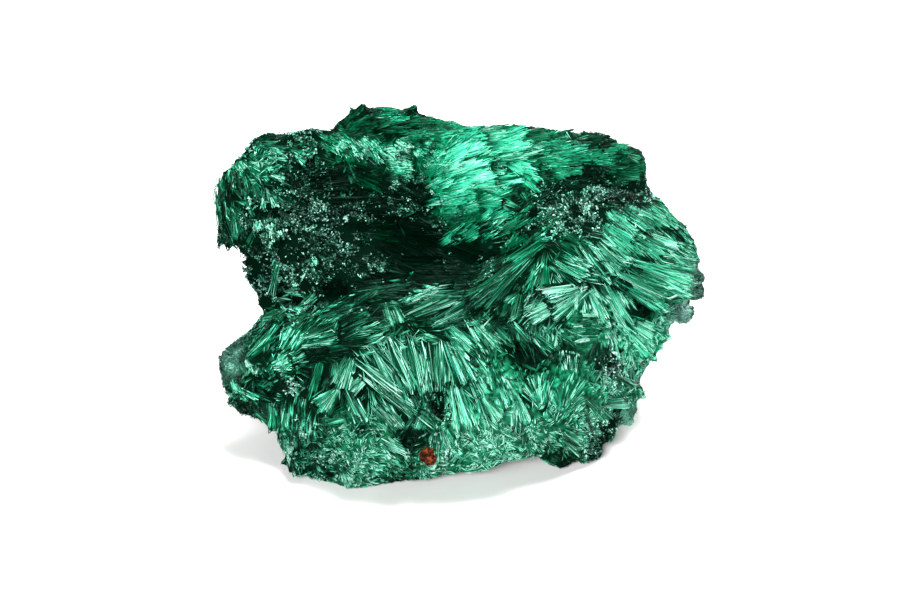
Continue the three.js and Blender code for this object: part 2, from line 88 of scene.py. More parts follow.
# Each fan: its root and tip in the view, its spread in degrees, its width at the root in mm, how
# light it is from 0 to 1, and how silvery it is from 0 to 1.
FANS = {
    "left_crown": [
        (226, 176, 227, 194, 12, 1.6, 0.42, 0.3),
        (231, 172, 233, 196, 12, 1.6, 0.30, 0.3),
        (238, 170, 241, 196, 12, 1.6, 0.48, 0.3),
        (216, 200, 220, 226, 2, 0.7, 0.60, 0.3),
        (219, 224, 226, 256, 2, 0.8, 0.24, 0),
        (224, 198, 228, 222, 2, 0.6, 0.48, 0.4),
        (232, 200, 236, 240, 2, 0.6, 0.52, 0.3),
        (240, 200, 243, 238, 2, 0.5, 0.40, 0.2),
        (226, 212, 232, 214, 2, 0.8, 0.22, 0),
        (250, 172, 261, 205, 6, 0.7, 0.40, 0),
        (266, 187, 274, 208, 30, 0.8, 0.92, 0.3),
        (254, 150, 262, 142, 20, 1.0, 0.48, 0.3),
        (262, 144, 287, 147, 12, 1.2, 0.54, 0.3),
        (268, 153, 287, 156, 12, 0.9, 0.85, 0.3),
        (272, 164, 286, 164, 12, 0.9, 0.32, 0),
        (270, 174, 286, 181, 6, 0.5, 0.85, 0.7),
        (291, 150, 310, 159, 40, 0.5, 0.62, 0.1),
        (240, 160, 244, 170, 24, 0.8, 0.90, 0.4),
        (257, 220, 259, 232, 2, 1.5, 0.85, 0.5),
        (274, 226, 274, 240, 10, 1.0, 0.95, 0.5),
        (230, 206, 238, 218, 18, 1.2, 0.55, 0.1),
        (232, 228, 240, 236, 18, 1.2, 0.50, 0.8),
        (278, 262, 271, 296, 10, 0.8, 0.60, 0.4),
        (283, 292, 301, 292, 8, 0.6, 0.68, 0.3),
        (305, 270, 293, 290, 14, 0.8, 0.85, 0.4),
        (295, 310, 315, 293, 8, 0.5, 0.80, 0.4),
        (258, 319, 292, 318, 12, 1.6, 0.60, 0.1),
        (280, 308, 298, 318, 20, 1.2, 0.98, 0.1),
        (310, 257, 316, 266, 6, 0.8, 0.85, 0.5),
    ],
    "back_ridge": [
        (345, 128, 372, 108, 22, 1.6, 0.32, 0),
        (350, 132, 400, 118, 14, 2.2, 0.34, 0.1),
        (375, 112, 410, 112, 12, 2.0, 0.50, 0),
        (395, 128, 436, 124, 12, 2.4, 0.42, 0.1),
        (340, 143, 353, 156, 24, 1.0, 0.82, 0.3),
        (350, 138, 366, 158, 16, 1.0, 0.85, 0.3),
        (359, 138, 374, 158, 16, 1.0, 0.82, 0.2),
        (369, 140, 383, 159, 16, 1.0, 0.70, 0.1),
        (382, 150, 412, 161, 14, 1.6, 0.80, 0.3),
        (390, 166, 414, 167, 12, 1.8, 0.75, 0.1),
        (397, 140, 414, 153, 20, 1.2, 0.88, 0.3),
        (414, 148, 433, 158, 20, 1.2, 0.75, 0.1),
        (322, 136, 345, 152, 16, 1.4, 0.52, 0.1),
        (405, 136, 436, 140, 14, 1.8, 0.50, 0.05),
    ],
    "silk_band": [
        (434, 165, 480, 137, 14, 2.0, 0.74, 0.05),
        (440, 168, 500, 148, 12, 2.4, 0.80, 0.05),
        (442, 135, 490, 130, 14, 2.4, 0.60, 0.05),
        (478, 140, 530, 132, 12, 2.4, 0.72, 0.05),
        (490, 155, 540, 143, 12, 2.4, 0.80, 0.05),
        (520, 138, 575, 135, 12, 2.4, 0.43, 0.1),
        (535, 152, 585, 146, 12, 2.4, 0.55, 0.1),
        (570, 140, 612, 142, 14, 2.2, 0.27, 0),
        (580, 155, 616, 156, 14, 2.2, 0.56, 0),
        (432, 193, 475, 182, 14, 2.6, 0.70, 0),
        (470, 182, 520, 176, 14, 2.4, 0.76, 0.1),
        (440, 207, 480, 199, 14, 1.8, 0.58, 0.05),
        (475, 200, 518, 190, 14, 1.8, 0.58, 0.0),
        (448, 222, 480, 215, 12, 1.4, 0.36, 0),
        (446, 243, 480, 226, 12, 1.6, 0.55, 0.00),
        (482, 219, 512, 207, 12, 1.4, 0.65, 0.0),
        (510, 162, 543, 180, 20, 1.2, 0.70, 0),
        (545, 165, 580, 168, 14, 2.0, 0.52, 0),
        (585, 168, 620, 172, 14, 1.6, 0.20, 0),
        (503, 230, 541, 208, 12, 1.0, 0.48, 0),
        (503, 250, 537, 232, 8, 0.8, 0.50, 0.0),
        (612, 148, 640, 156, 14, 1.8, 0.52, 0.1),
        (605, 170, 645, 172, 12, 1.8, 0.36, 0),
    ],
    # The hollow's fans are near black: partly the deep green of their fibres, partly painted shade of the
    # hollow.
    "basin": [
        (305, 185, 350, 178, 12, 3.0, 0.04, 0.0),
        (350, 170, 385, 182, 14, 3.0, 0.32, 0.0),
        (330, 205, 385, 205, 10, 3.0, 0.08, 0.0),
        (390, 185, 428, 205, 16, 2.4, 0.18, 0.1),
        (350, 235, 400, 235, 10, 3.0, 0.28, 0.0),
        (400, 235, 440, 245, 10, 3.0, 0.10, 0.0),
        (400, 262, 450, 262, 10, 2.4, 0.13, 0.0),
        (445, 245, 480, 262, 12, 2.4, 0.20, 0.0),
        (365, 275, 400, 280, 12, 1.8, 0.04, 0.1),
    ],
    "stem": [
        (353, 293, 415, 284, 10, 1.4, 0.36, 0.2),
        (396, 305, 440, 290, 8, 0.8, 0.62, 0.7),
        (420, 293, 468, 291, 10, 1.2, 0.58, 0.7),
        (400, 318, 466, 291, 10, 1.4, 0.52, 0.8),
        (430, 325, 471, 305, 10, 1.4, 0.48, 0.9),
        (388, 300, 397, 325, 10, 1.4, 0.65, 0.6),
        (335, 320, 372, 310, 12, 1.2, 0.32, 0.1),
        (340, 328, 373, 315, 10, 1.0, 0.42, 0.2),
        (318, 318, 345, 312, 12, 1.2, 0.34, 0.1),
    ],
    "saddle": [
        (537, 246, 470, 311, 8, 1.4, 0.50, 0.5),
        (530, 258, 474, 315, 8, 1.2, 0.52, 0.6),
        (520, 270, 464, 305, 8, 1.2, 0.40, 0.4),
        (545, 240, 505, 268, 10, 1.4, 0.50, 0.0),
        (541, 262, 530, 300, 14, 1.2, 0.68, 0.1),
        (546, 264, 541, 292, 12, 1.0, 0.42, 0.0),
        (510, 300, 500, 323, 10, 0.8, 0.46, 0),
        (520, 293, 512, 321, 10, 0.8, 0.40, 0.2),
        (552, 262, 586, 286, 12, 1.6, 0.62, 0.3),
        (562, 254, 577, 263, 8, 0.5, 0.60, 0.4),
        (560, 235, 585, 250, 16, 1.6, 0.42, 0.2),
        (574, 240, 602, 284, 10, 1.4, 0.54, 0.6),
        (586, 239, 618, 276, 10, 1.4, 0.54, 0.8),
        (599, 240, 629, 268, 10, 1.4, 0.64, 0.6),
        (588, 285, 540, 296, 10, 0.5, 0.88, 0.6),
        (587, 286, 522, 310, 10, 0.5, 0.90, 0.6),
        (587, 287, 528, 320, 10, 0.5, 0.88, 0.6),
        (588, 288, 546, 318, 10, 0.5, 0.88, 0.6),
        (589, 289, 562, 324, 14, 0.5, 0.54, 0.3),
        (590, 288, 600, 302, 14, 0.6, 0.80, 0.5),
        (590, 290, 605, 322, 14, 0.8, 0.74, 0.4),
        (590, 262, 628, 325, 8, 0.9, 0.70, 0.4),
    ],
    "flank": [
        (608, 209, 641, 236, 14, 1.8, 0.76, 0.3),
        (622, 206, 655, 230, 14, 1.8, 0.68, 0.4),
        (640, 207, 669, 229, 14, 1.6, 0.66, 0.4),
        (648, 203, 691, 236, 10, 1.6, 0.70, 0.3),
        (655, 201, 695, 241, 10, 1.6, 0.60, 0.3),
        (600, 225, 640, 255, 14, 2.0, 0.64, 0.2),
        (625, 235, 665, 258, 14, 2.0, 0.74, 0.3),
        (650, 238, 694, 258, 12, 2.0, 0.82, 0.4),
        (630, 262, 670, 275, 12, 2.0, 0.80, 0.1),
        (655, 272, 692, 290, 12, 2.2, 0.84, 0.2),
        (660, 262, 697, 270, 12, 1.8, 0.78, 0.4),
        (615, 275, 666, 301, 10, 1.6, 0.72, 0.3),
        (640, 290, 672, 306, 14, 1.6, 0.68, 0.2),
        (620, 318, 652, 340, 20, 1.8, 0.95, 0.0),
        (632, 335, 652, 355, 24, 1.6, 0.76, 0.0),
        (667, 299, 690, 289, 2, 0.4, 0.85, 0.8),
    ],
    "hand": [
        (364, 346, 396, 386, 12, 2.2, 0.62, 0.5),
        (374, 340, 404, 392, 8, 2.0, 0.80, 0.5),
        (387, 336, 412, 398, 6, 2.0, 0.72, 0.4),
        (400, 337, 418, 402, 6, 1.8, 0.78, 0.5),
        # A small fan made near white: a painted highlight where the light catches the hand's fibres.
        (393, 350, 399, 367, 6, 0.8, 0.99, 0.9),
        (352, 362, 418, 412, 6, 1.5, 0.78, 0.8),
        (380, 382, 438, 426, 6, 1.0, 0.70, 0.6),
        (352, 357, 340, 391, 16, 1.6, 0.70, 0.6),
        (345, 388, 362, 424, 12, 1.4, 0.64, 0.3),
        (352, 400, 366, 434, 12, 1.2, 0.28, 0),
        (363, 378, 349, 392, 8, 1.2, 0.99, 0.6),
        (372, 401, 399, 429, 8, 1.2, 0.52, 0.9),
        (380, 402, 404, 428, 10, 1.0, 0.74, 0.95),
        (412, 336, 427, 392, 5, 1.4, 0.66, 0.4),
        (420, 336, 431, 392, 4, 1.0, 0.84, 0.6),
        (428, 336, 436, 392, 4, 1.2, 0.50, 0.8),
        (437, 340, 441, 390, 4, 1.3, 0.52, 0.8),
        (444, 350, 447, 390, 8, 1.0, 0.54, 0.3),
        (446, 326, 472, 352, 12, 1.4, 0.72, 0.3),
        (448, 340, 468, 386, 10, 1.4, 0.90, 0.3),
        (452, 362, 462, 400, 12, 1.4, 0.80, 0.3),
        (455, 386, 466, 428, 14, 1.8, 0.95, 0.2),
        (468, 366, 486, 398, 14, 1.4, 0.84, 0.3),
        (468, 318, 494, 350, 12, 1.4, 0.68, 0.4),
        (478, 316, 505, 345, 12, 1.4, 0.62, 0.4),
        (492, 343, 495, 362, 8, 0.9, 0.42, 0.6),
        (491, 364, 498, 390, 10, 1.2, 0.50, 0.2),
        (500, 376, 513, 404, 12, 1.4, 0.82, 0.4),
        (510, 322, 530, 345, 16, 1.2, 0.55, 0.4),
        (480, 396, 496, 426, 18, 1.6, 0.78, 0.3),
        (425, 400, 418, 430, 20, 1.0, 0.55, 0.3),
    ],
    "belly": [
        (540, 405, 524, 376, 20, 0.6, 0.78, 0.05),
        (541, 405, 536, 370, 16, 0.6, 0.86, 0.05),
        (542, 405, 547, 378, 16, 0.6, 0.78, 0.05),
        (563, 372, 564, 350, 12, 1.0, 0.72, 0.6),
        (574, 372, 575, 350, 12, 1.0, 0.76, 0.6),
        (560, 412, 551, 388, 16, 0.6, 0.70, 0.2),
        (560, 412, 570, 378, 16, 0.6, 0.62, 0.2),
        (561, 412, 584, 374, 14, 0.6, 0.70, 0.3),
        (562, 412, 587, 393, 16, 0.6, 0.58, 0.2),
        (570, 319, 604, 322, 10, 1.2, 0.62, 0.3),
        (568, 332, 600, 330, 12, 1.2, 0.60, 0.3),
        (570, 327, 583, 324, 6, 0.4, 0.70, 0.9),
        (574, 343, 591, 336, 6, 0.4, 0.95, 0.9),
        (598, 340, 590, 362, 14, 1.0, 0.32, 0.2),
        (604, 340, 609, 363, 14, 1.0, 0.20, 0),
        (600, 404, 637, 398, 10, 0.8, 0.99, 0.3),
        (612, 376, 634, 392, 18, 1.2, 0.60, 0.1),
        (585, 400, 604, 424, 24, 1.2, 0.56, 0.2),
        (532, 335, 552, 352, 18, 1.2, 0.44, 0.3),
        (548, 330, 560, 350, 18, 1.2, 0.34, 0.1),
        (515, 395, 522, 425, 24, 1.0, 0.82, 0.3),
    ],
    "side": [
        (246, 358, 272, 333, 10, 0.9, 0.55, 0.2),
        (262, 345, 284, 322, 12, 0.9, 0.60, 0.2),
        (282, 350, 296, 326, 26, 1.0, 0.80, 0.1),
        (290, 352, 306, 330, 20, 1.0, 0.72, 0.1),
        (272, 367, 300, 362, 34, 0.7, 0.99, 0.1),
        (300, 342, 344, 330, 10, 1.4, 0.68, 0.2),
        (302, 350, 346, 344, 10, 1.4, 0.42, 0.2),
        (321, 361, 309, 400, 12, 0.9, 0.40, 0.1),
        (335, 359, 334, 379, 8, 0.7, 0.70, 0.3),
        (338, 387, 315, 404, 14, 0.5, 0.82, 0.3),
        (338, 388, 322, 416, 14, 0.5, 0.84, 0.3),
        (339, 388, 334, 404, 14, 0.5, 0.85, 0.3),
        (320, 423, 346, 412, 12, 0.9, 0.66, 0.0),
        (338, 428, 351, 423, 6, 0.4, 0.56, 0.9),
        (232, 378, 239, 392, 10, 0.8, 0.90, 0.2),
        (238, 390, 261, 402, 6, 0.9, 0.84, 0),
        (246, 359, 250, 368, 8, 0.3, 0.98, 0.8),
        (254, 374, 250, 366, 8, 0.3, 0.98, 0.8),
        (258, 367, 254, 376, 8, 0.3, 0.70, 0.8),
        (270, 402, 270, 430, 12, 1.2, 0.66, 0.0),
        (284, 402, 286, 430, 12, 1.2, 0.52, 0.1),
        (306, 380, 300, 410, 16, 1.0, 0.64, 0.3),
        (262, 385, 276, 372, 20, 0.8, 0.55, 0.1),
    ],
    "chin": [
        (378, 438, 408, 452, 8, 0.8, 0.75, 0.8),
        (406, 448, 409, 461, 8, 0.5, 0.98, 0.8),
        (455, 462, 468, 448, 20, 1.0, 0.80, 0.1),
        (440, 424, 446, 446, 26, 1.0, 0.52, 0.3),
        (283, 444, 293, 452, 30, 1.0, 0.99, 0.9),
        (560, 432, 588, 446, 20, 1.2, 0.66, 0.3),
    ],
}

# How each group's fibres grow: whether they're fused into flat blades or stand as loose silk, the part
# of the fan's length that one of them spans, how far it strays, how much the tone varies from blade to
# blade, and how strongly it does from fibre to fibre.
HABITS = {
    "left_crown": ("blades", 0.75, 0.03, 0.24, 1.0),
    "back_ridge": ("silk", 0.45, 0.08, 0.16, 0.6),
    "silk_band": ("silk", 0.62, 0.07, 0.07, 0.24),
    "basin": ("blades", 0.80, 0.02, 0.25, 1.0),
    "stem": ("blades", 0.90, 0.01, 0.24, 1.3),
    "saddle": ("blades", 0.85, 0.01, 0.16, 0.42),
    "flank": ("blades", 0.75, 0.02, 0.12, 0.42),
    "hand": ("blades", 0.85, 0.01, 0.26, 1.1),
    "belly": ("blades", 0.80, 0.02, 0.24, 0.9),
    "side": ("blades", 0.80, 0.02, 0.26, 1.0),
    "chin": ("blades", 0.75, 0.03, 0.24, 1.0),
}

# Each ground: its middle in the view, its radius there, how light and how silvery it is, and what
# grows on it. The darkest lie in pits, the hollow and along the lower edge, and their low tone is partly
# the malachite's deep green and partly painted shade.
GROUNDS = [
    (225, 200, 22, 0.48, 0.35, "silk"),
    (240, 142, 15, 0.24, 0.40, "druse"),
    (268, 135, 15, 0.22, 0.20, "mat"),
    (300, 138, 20, 0.34, 0.40, "druse"),
    (255, 165, 22, 0.60, 0.20, "mat"),
    (285, 152, 20, 0.58, 0.25, "mat"),
    (275, 205, 20, 0.30, 0.00, "silk"),
    (250, 235, 20, 0.31, 0.60, "druse"),
    (274, 233, 9, 0.99, 0.40, "mat"),
    (243, 246, 12, 0.16, 0.30, "mat"),
    (300, 172, 22, 0.13, 0.30, "druse"),
    (290, 215, 30, 0.30, 0.70, "druse"),
    (350, 215, 30, 0.29, 0.80, "druse"),
    (320, 250, 30, 0.22, 0.50, "druse"),
    (270, 270, 25, 0.28, 0.60, "druse"),
    (375, 265, 15, 0.34, 0.70, "druse"),
    (300, 292, 20, 0.20, 0.50, "druse"),
    (360, 188, 30, 0.05, 0.00, "silk"),
    (400, 240, 35, 0.08, 0.00, "silk"),
    (440, 260, 30, 0.16, 0.10, "silk"),
    (436, 228, 11, 0.32, 0.90, "druse"),
    (446, 262, 10, 0.28, 0.90, "druse"),
    (486, 266, 9, 0.26, 0.60, "druse"),
    (500, 243, 8, 0.10, 0.50, "druse"),
    (335, 290, 17, 0.01, 0.00, "velvet"),
    (402, 198, 22, 0.36, 0.70, "druse"),
    (365, 118, 25, 0.32, 0.00, "silk"),
    (410, 118, 20, 0.48, 0.15, "silk"),
    (350, 150, 25, 0.60, 0.10, "velvet"),
    (395, 165, 20, 0.48, 0.10, "velvet"),
    (330, 145, 15, 0.30, 0.20, "silk"),
    (460, 140, 30, 0.54, 0.00, "velvet"),
    (500, 155, 30, 0.60, 0.00, "velvet"),
    (497, 166, 7, 0.30, 0.20, "druse"),
    (546, 162, 10, 0.42, 0.20, "mat"),
    (550, 150, 30, 0.44, 0.10, "velvet"),
    (600, 145, 25, 0.26, 0.00, "velvet"),
    (470, 185, 30, 0.60, 0.00, "velvet"),
    (450, 210, 20, 0.52, 0.05, "velvet"),
    (500, 205, 25, 0.40, 0.10, "velvet"),
    (490, 226, 15, 0.60, 0.10, "silk"),
    (628, 168, 20, 0.42, 0.00, "velvet"),
    (572, 186, 20, 0.16, 0.05, "silk"),
    (560, 208, 25, 0.28, 0.60, "druse"),
    (620, 196, 25, 0.12, 0.50, "druse"),
    (595, 200, 20, 0.46, 0.60, "druse"),
    (525, 216, 20, 0.26, 0.00, "silk"),
    (545, 240, 20, 0.46, 0.00, "silk"),
    (592, 231, 8, 0.10, 0.80, "druse"),
    (510, 275, 25, 0.34, 0.20, "silk"),
    (480, 300, 20, 0.28, 0.60, "silk"),
    (550, 290, 25, 0.82, 0.60, "silk"),
    (590, 260, 25, 0.86, 0.50, "silk"),
    (610, 240, 25, 0.64, 0.40, "silk"),
    (650, 225, 25, 0.68, 0.35, "silk"),
    (680, 245, 20, 0.80, 0.40, "silk"),
    (640, 265, 25, 0.82, 0.30, "silk"),
    (675, 282, 20, 0.84, 0.40, "silk"),
    (634, 308, 13, 0.14, 0.00, "velvet"),
    (600, 310, 20, 0.86, 0.60, "silk"),
    (560, 312, 20, 0.78, 0.50, "silk"),
    (520, 312, 20, 0.58, 0.60, "silk"),
    (430, 295, 30, 0.14, 0.30, "silk"),
    (370, 302, 25, 0.30, 0.50, "silk"),
    (400, 316, 20, 0.48, 0.60, "silk"),
    (366, 312, 8, 0.26, 0.90, "druse"),
    (340, 320, 20, 0.62, 0.50, "silk"),
    (380, 360, 25, 0.66, 0.50, "silk"),
    (410, 370, 25, 0.66, 0.45, "silk"),
    (440, 360, 25, 0.72, 0.40, "silk"),
    (480, 340, 25, 0.62, 0.30, "silk"),
    (500, 382, 25, 0.66, 0.30, "velvet"),
    (465, 402, 20, 0.90, 0.15, "silk"),
    (440, 406, 10, 0.06, 0.30, "druse"),
    (525, 354, 16, 0.08, 0.10, "silk"),
    (560, 345, 20, 0.30, 0.30, "velvet"),
    (590, 330, 20, 0.54, 0.40, "velvet"),
    (610, 368, 13, 0.36, 0.80, "druse"),
    (570, 392, 25, 0.58, 0.20, "velvet"),
    (540, 395, 20, 0.62, 0.10, "silk"),
    (622, 385, 20, 0.72, 0.30, "mat"),
    (640, 345, 20, 0.88, 0.00, "mat"),
    (290, 340, 25, 0.54, 0.15, "silk"),
    (260, 345, 15, 0.34, 0.40, "mat"),
    (233, 347, 14, 0.46, 0.80, "stone"),
    (226, 372, 12, 0.46, 0.70, "stone"),
    (232, 390, 10, 0.36, 0.40, "mat"),
    (240, 408, 12, 0.10, 0.60, "druse"),
    (250, 396, 15, 0.38, 0.00, "silk"),
    (270, 388, 11, 0.18, 0.30, "mat"),
    (284, 362, 11, 0.92, 0.30, "mat"),
    (293, 386, 8, 0.36, 0.80, "druse"),
    (320, 360, 25, 0.30, 0.20, "silk"),
    (320, 402, 20, 0.54, 0.20, "silk"),
    (308, 380, 10, 0.06, 0.00, "silk"),
    (285, 415, 20, 0.58, 0.20, "silk"),
    (342, 386, 20, 0.48, 0.30, "silk"),
    (308, 452, 24, 0.42, 0.60, "mat"),
    (300, 436, 13, 0.34, 0.60, "druse"),
    (326, 464, 13, 0.30, 0.60, "druse"),
    (350, 452, 25, 0.63, 0.40, "mat"),
    (382, 458, 22, 0.64, 0.45, "mat"),
    (410, 437, 12, 0.20, 0.50, "mat"),
    (430, 476, 20, 0.66, 0.60, "mat"),
    (480, 430, 30, 0.78, 0.50, "mat"),
    (530, 425, 30, 0.69, 0.50, "mat"),
    (570, 430, 25, 0.74, 0.40, "mat"),
    (560, 456, 20, 0.16, 0.50, "mat"),
    (595, 446, 15, 0.32, 0.60, "druse"),
    (612, 424, 12, 0.48, 0.60, "druse"),
    (632, 412, 12, 0.50, 0.60, "stone"),
    (465, 458, 12, 0.70, 0.40, "mat"),
    (400, 480, 20, 0.20, 0.30, "mat"),
    (345, 482, 20, 0.62, 0.70, "mat"),
    (642, 372, 15, 0.50, 0.40, "mat"),
    (698, 272, 12, 0.50, 0.95, "stone"),
    (698, 290, 12, 0.46, 0.95, "stone"),
    (684, 311, 11, 0.58, 0.95, "stone"),
]

# Sizes and colours that a user would change.


def millimetres(name, description, default):
    """A length that a user can change, with its default in millimetres."""
    return bpy.props.FloatProperty(
        name=name, description=description, default=default * MM, unit="LENGTH", precision=5
    )


def count(name, description, default):
    """A number of things that a user can change."""
    return bpy.props.IntProperty(name=name, description=description, default=default, min=0)


def linear(code):
    """An sRGB hex colour as linear red, green and blue."""
    values = [int(code[i : i + 2], 16) / 255 for i in (1, 3, 5)]
    return [v / 12.92 if v <= 0.04045 else ((v + 0.055) / 1.055) ** 2.4 for v in values]


def colour(name, description, code):
    """A colour that a user can change, with its default as an sRGB hex value."""
    return bpy.props.FloatVectorProperty(
        name=name, description=description, default=linear(code), subtype="COLOR", min=0, max=1
    )


class MalachiteSettings(bpy.types.PropertyGroup):
    """Sizes and colours of the specimen's growth."""

    fibre_width: millimetres("Fibre width", "Breadth of one loose needle", 0.13)
    fibre_depth: millimetres("Fibre depth", "Thickness of one needle", 0.12)
    fibre_pitch: millimetres("Fibre pitch", "Breadth of one of the fibres fused into a blade", 0.065)
    wisp_needles: count("Needles in a wisp", "Needles that lie side by side in one wisp of silk", 26)
    tufts: count("Tufts", "Small tufts that fill between the fans, over the whole specimen", 29000)
    hidden_share: bpy.props.FloatProperty(
        name="Hidden share",
        description="Part of the small growth that is kept away from the display side",
        default=0.3,
        min=0,
        max=1,
    )
    druse_domes: count("Druse crumbs", "Little crumbs of the sparkling crust", 3900)
    dome_crystals: count("Crystals in a crumb", "Stout crystals that make up one little crumb", 8)
    ground_step: millimetres("Ground step", "Size of the ground's facets", 0.48)
    ground_inset: millimetres("Ground inset", "How far the ground lies under the solid's surface", 0.1)
    # Where it falls in gaps and at roots, the deepest green is painted shade.
    deep_green: colour("Deep green", "The darkest emerald, in gaps and at roots", "#000803")
    emerald: colour("Emerald", "The middle green of the silk", "#006a42")
    mint: colour("Mint", "The lit green of the silk", "#2ebf97")
    pale_mint: colour("Pale mint", "The brightest green of the silk", "#88e8c6")
    silver: colour("Silver", "The silvery sheen of the palest fans", "#bae2d6")
    rust: colour("Rust", "The iron oxide grain", "#3f1706")


# Growing needles.


def sight(across, down):
    """The way from the eye to a place in the view."""
    right = (across - VIEW_MIDDLE[0]) * VIEW_UNIT
    up = (VIEW_MIDDLE[1] - down) * VIEW_UNIT
    target = VIEW_AIM + VIEW_UP * up + Vector((right, 0, 0))
    return (target - EYE).normalized()


def place_in_view(points):
    """Where points appear in the view, across and down."""
    arms = np.asarray(points) - np.array(EYE)
    far = -arms @ np.array(TOWARDS_EYE)
    scale = VIEW_DISTANCE / far / VIEW_UNIT
    across = VIEW_MIDDLE[0] + arms[:, 0] * scale
    down = VIEW_MIDDLE[1] - (arms @ np.array(VIEW_UP)) * scale
    return np.stack([across, down], 1)


def solid_surface():
    """The solid's own mesh as arrays, and a tree to cast rays on."""
    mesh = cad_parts[SOLID].data
    mesh.calc_loop_triangles()
    corners = np.array([v.co for v in mesh.vertices])
    faces = np.array([t.vertices for t in mesh.loop_triangles])
    return corners, faces, BVHTree.FromPolygons(corners.tolist(), faces.tolist())


# The part of the needles that are painted brighter, as glints where they catch the light.
GLINT_SHARE = 0.06


class Growth:
    """Needles collected as arrays of their roots, directions, sizes and tints."""

    NAMES = ("root", "aim", "face", "size", "tint")

    def __init__(self):
        self.parts = {name: [] for name in self.NAMES}

    def add(self, root, aim, face, size, tint):
        """Adds needles: size is their thickness, breadth and length, and tint is tone and silver."""
        size = np.stack(size, 1)
        tint = np.clip(np.stack(tint, 1), 0.01, 0.99)
        for name, values in zip(self.NAMES, (root, aim, face, size, tint)):
            self.parts[name].append(np.asarray(values, dtype=np.float32))

    def arrays(self):
        """Each kind of value as one array over all the needles."""
        return {name: np.concatenate(values) for name, values in self.parts.items()}


def unit(v):
    """Vectors scaled to a length of one."""
    return v / np.maximum(np.linalg.norm(v, axis=-1, keepdims=True), 1e-12)


# How far a needle's tip may stand off the solid.
FRINGE = 0.22 * MM


def settled(tree, start, stop, low, high):
    """Needles' ends moved onto the surface that shows there, and raised where it bulges between.

    A needle stays as it was where the move would stretch it across a gap in the surface.
    """
    for i in range(len(start)):
        middle = (start[i] + stop[i]) / 2
        ways = [(Vector(point) - EYE).normalized() for point in (start[i], stop[i], middle)]
        first, last, halfway = (tree.ray_cast(EYE, way) for way in ways)
        if first[0] is None or last[0] is None:
            continue
        new_start = first[0] + first[1] * low
        new_stop = last[0] + last[1] * high[i]
        if (new_stop - new_start).length > 1.4 * np.linalg.norm(stop[i] - start[i]) + 0.2 * MM:
            continue
        if halfway[0] is not None:
            bulge = (halfway[0] - (new_start + new_stop) / 2).dot(halfway[1])
            lift = halfway[1] * min(max(bulge, 0), FRINGE)
            new_start, new_stop = new_start + lift, new_stop + lift
        start[i], stop[i] = new_start, new_stop
    return start, stop


def grow_wisp(growth, rng, settings, root, tip, face, count, tone, silver, width, spread,
              span=0.7, stray=0.03, tree=None, layer=0, fine=1.0, contrast=1.0):
    """Adds a wisp of loose needles, side by side from its root towards its tip.

    Where a tree is given, the needles are laid on the solid, higher with each layer.
    """
    along = tip - root
    length = np.linalg.norm(along)
    along = along / length
    side = unit(np.cross(face, along))
    up = np.cross(along, side)
    roll = rng.normal(0, 0.35)
    side, up = side * math.cos(roll) + up * math.sin(roll), up * math.cos(roll) - side * math.sin(roll)
    across = rng.uniform(-0.5, 0.5, count)
    part = np.minimum(span * rng.uniform(0.75, 1.25, count), 1)
    late = rng.uniform(0, 1, count) * (1 - part)
    start = (
        root
        + side * (across * width)[:, None]
        + up * (rng.normal(0, 0.05, count) * MM)[:, None]
        + along * (late * length)[:, None]
    )
    aim = along + side * (across * spread + rng.normal(0, stray, count))[:, None]
    aim = unit(aim + up * rng.normal(0, 0.012 + 0.4 * stray, count)[:, None])
    reach = length * part
    if tree:
        stop = start + aim * reach[:, None]
        high = (0.12 * layer + rng.uniform(-0.04, 0.1, count)) * MM
        start, stop = settled(tree, start, stop, (0.08 * layer - 0.12) * MM, high)
        aim, reach = unit(stop - start), np.linalg.norm(stop - start, axis=1)
    facing = unit(up + side * rng.normal(0, 0.6, count)[:, None])
    wide = fine * settings.fibre_width * rng.uniform(0.6, 1.25, count)
    deep = fine * settings.fibre_depth * rng.uniform(0.6, 1.25, count)
    # Some needles are painted dark, as the shade in the thin gaps between them, which draws the thin lines.
    is_dark = rng.uniform(size=count) < 0.24 * contrast
    light = tone * np.where(is_dark, 1 - 0.7 * contrast, rng.normal(1.08, 0.22 * contrast, count))
    # Painted glints: a few needles are made lighter and more silvery.
    glint = rng.uniform(size=count) < GLINT_SHARE
    sheen = silver + 0.4 * glint + rng.normal(0, 0.12, count)
    growth.add(start, aim, facing, [deep, wide, reach], [light * (1 + 0.4 * glint), sheen])


def snapped(tree, point, limit=4 * MM):
    """The nearest place on the solid and its facing, or the point itself where none is near."""
    found = tree.find_nearest(Vector(point), limit)
    if found[0] is None:
        return np.array(point), None
    return np.array(found[0]), np.array(found[1])


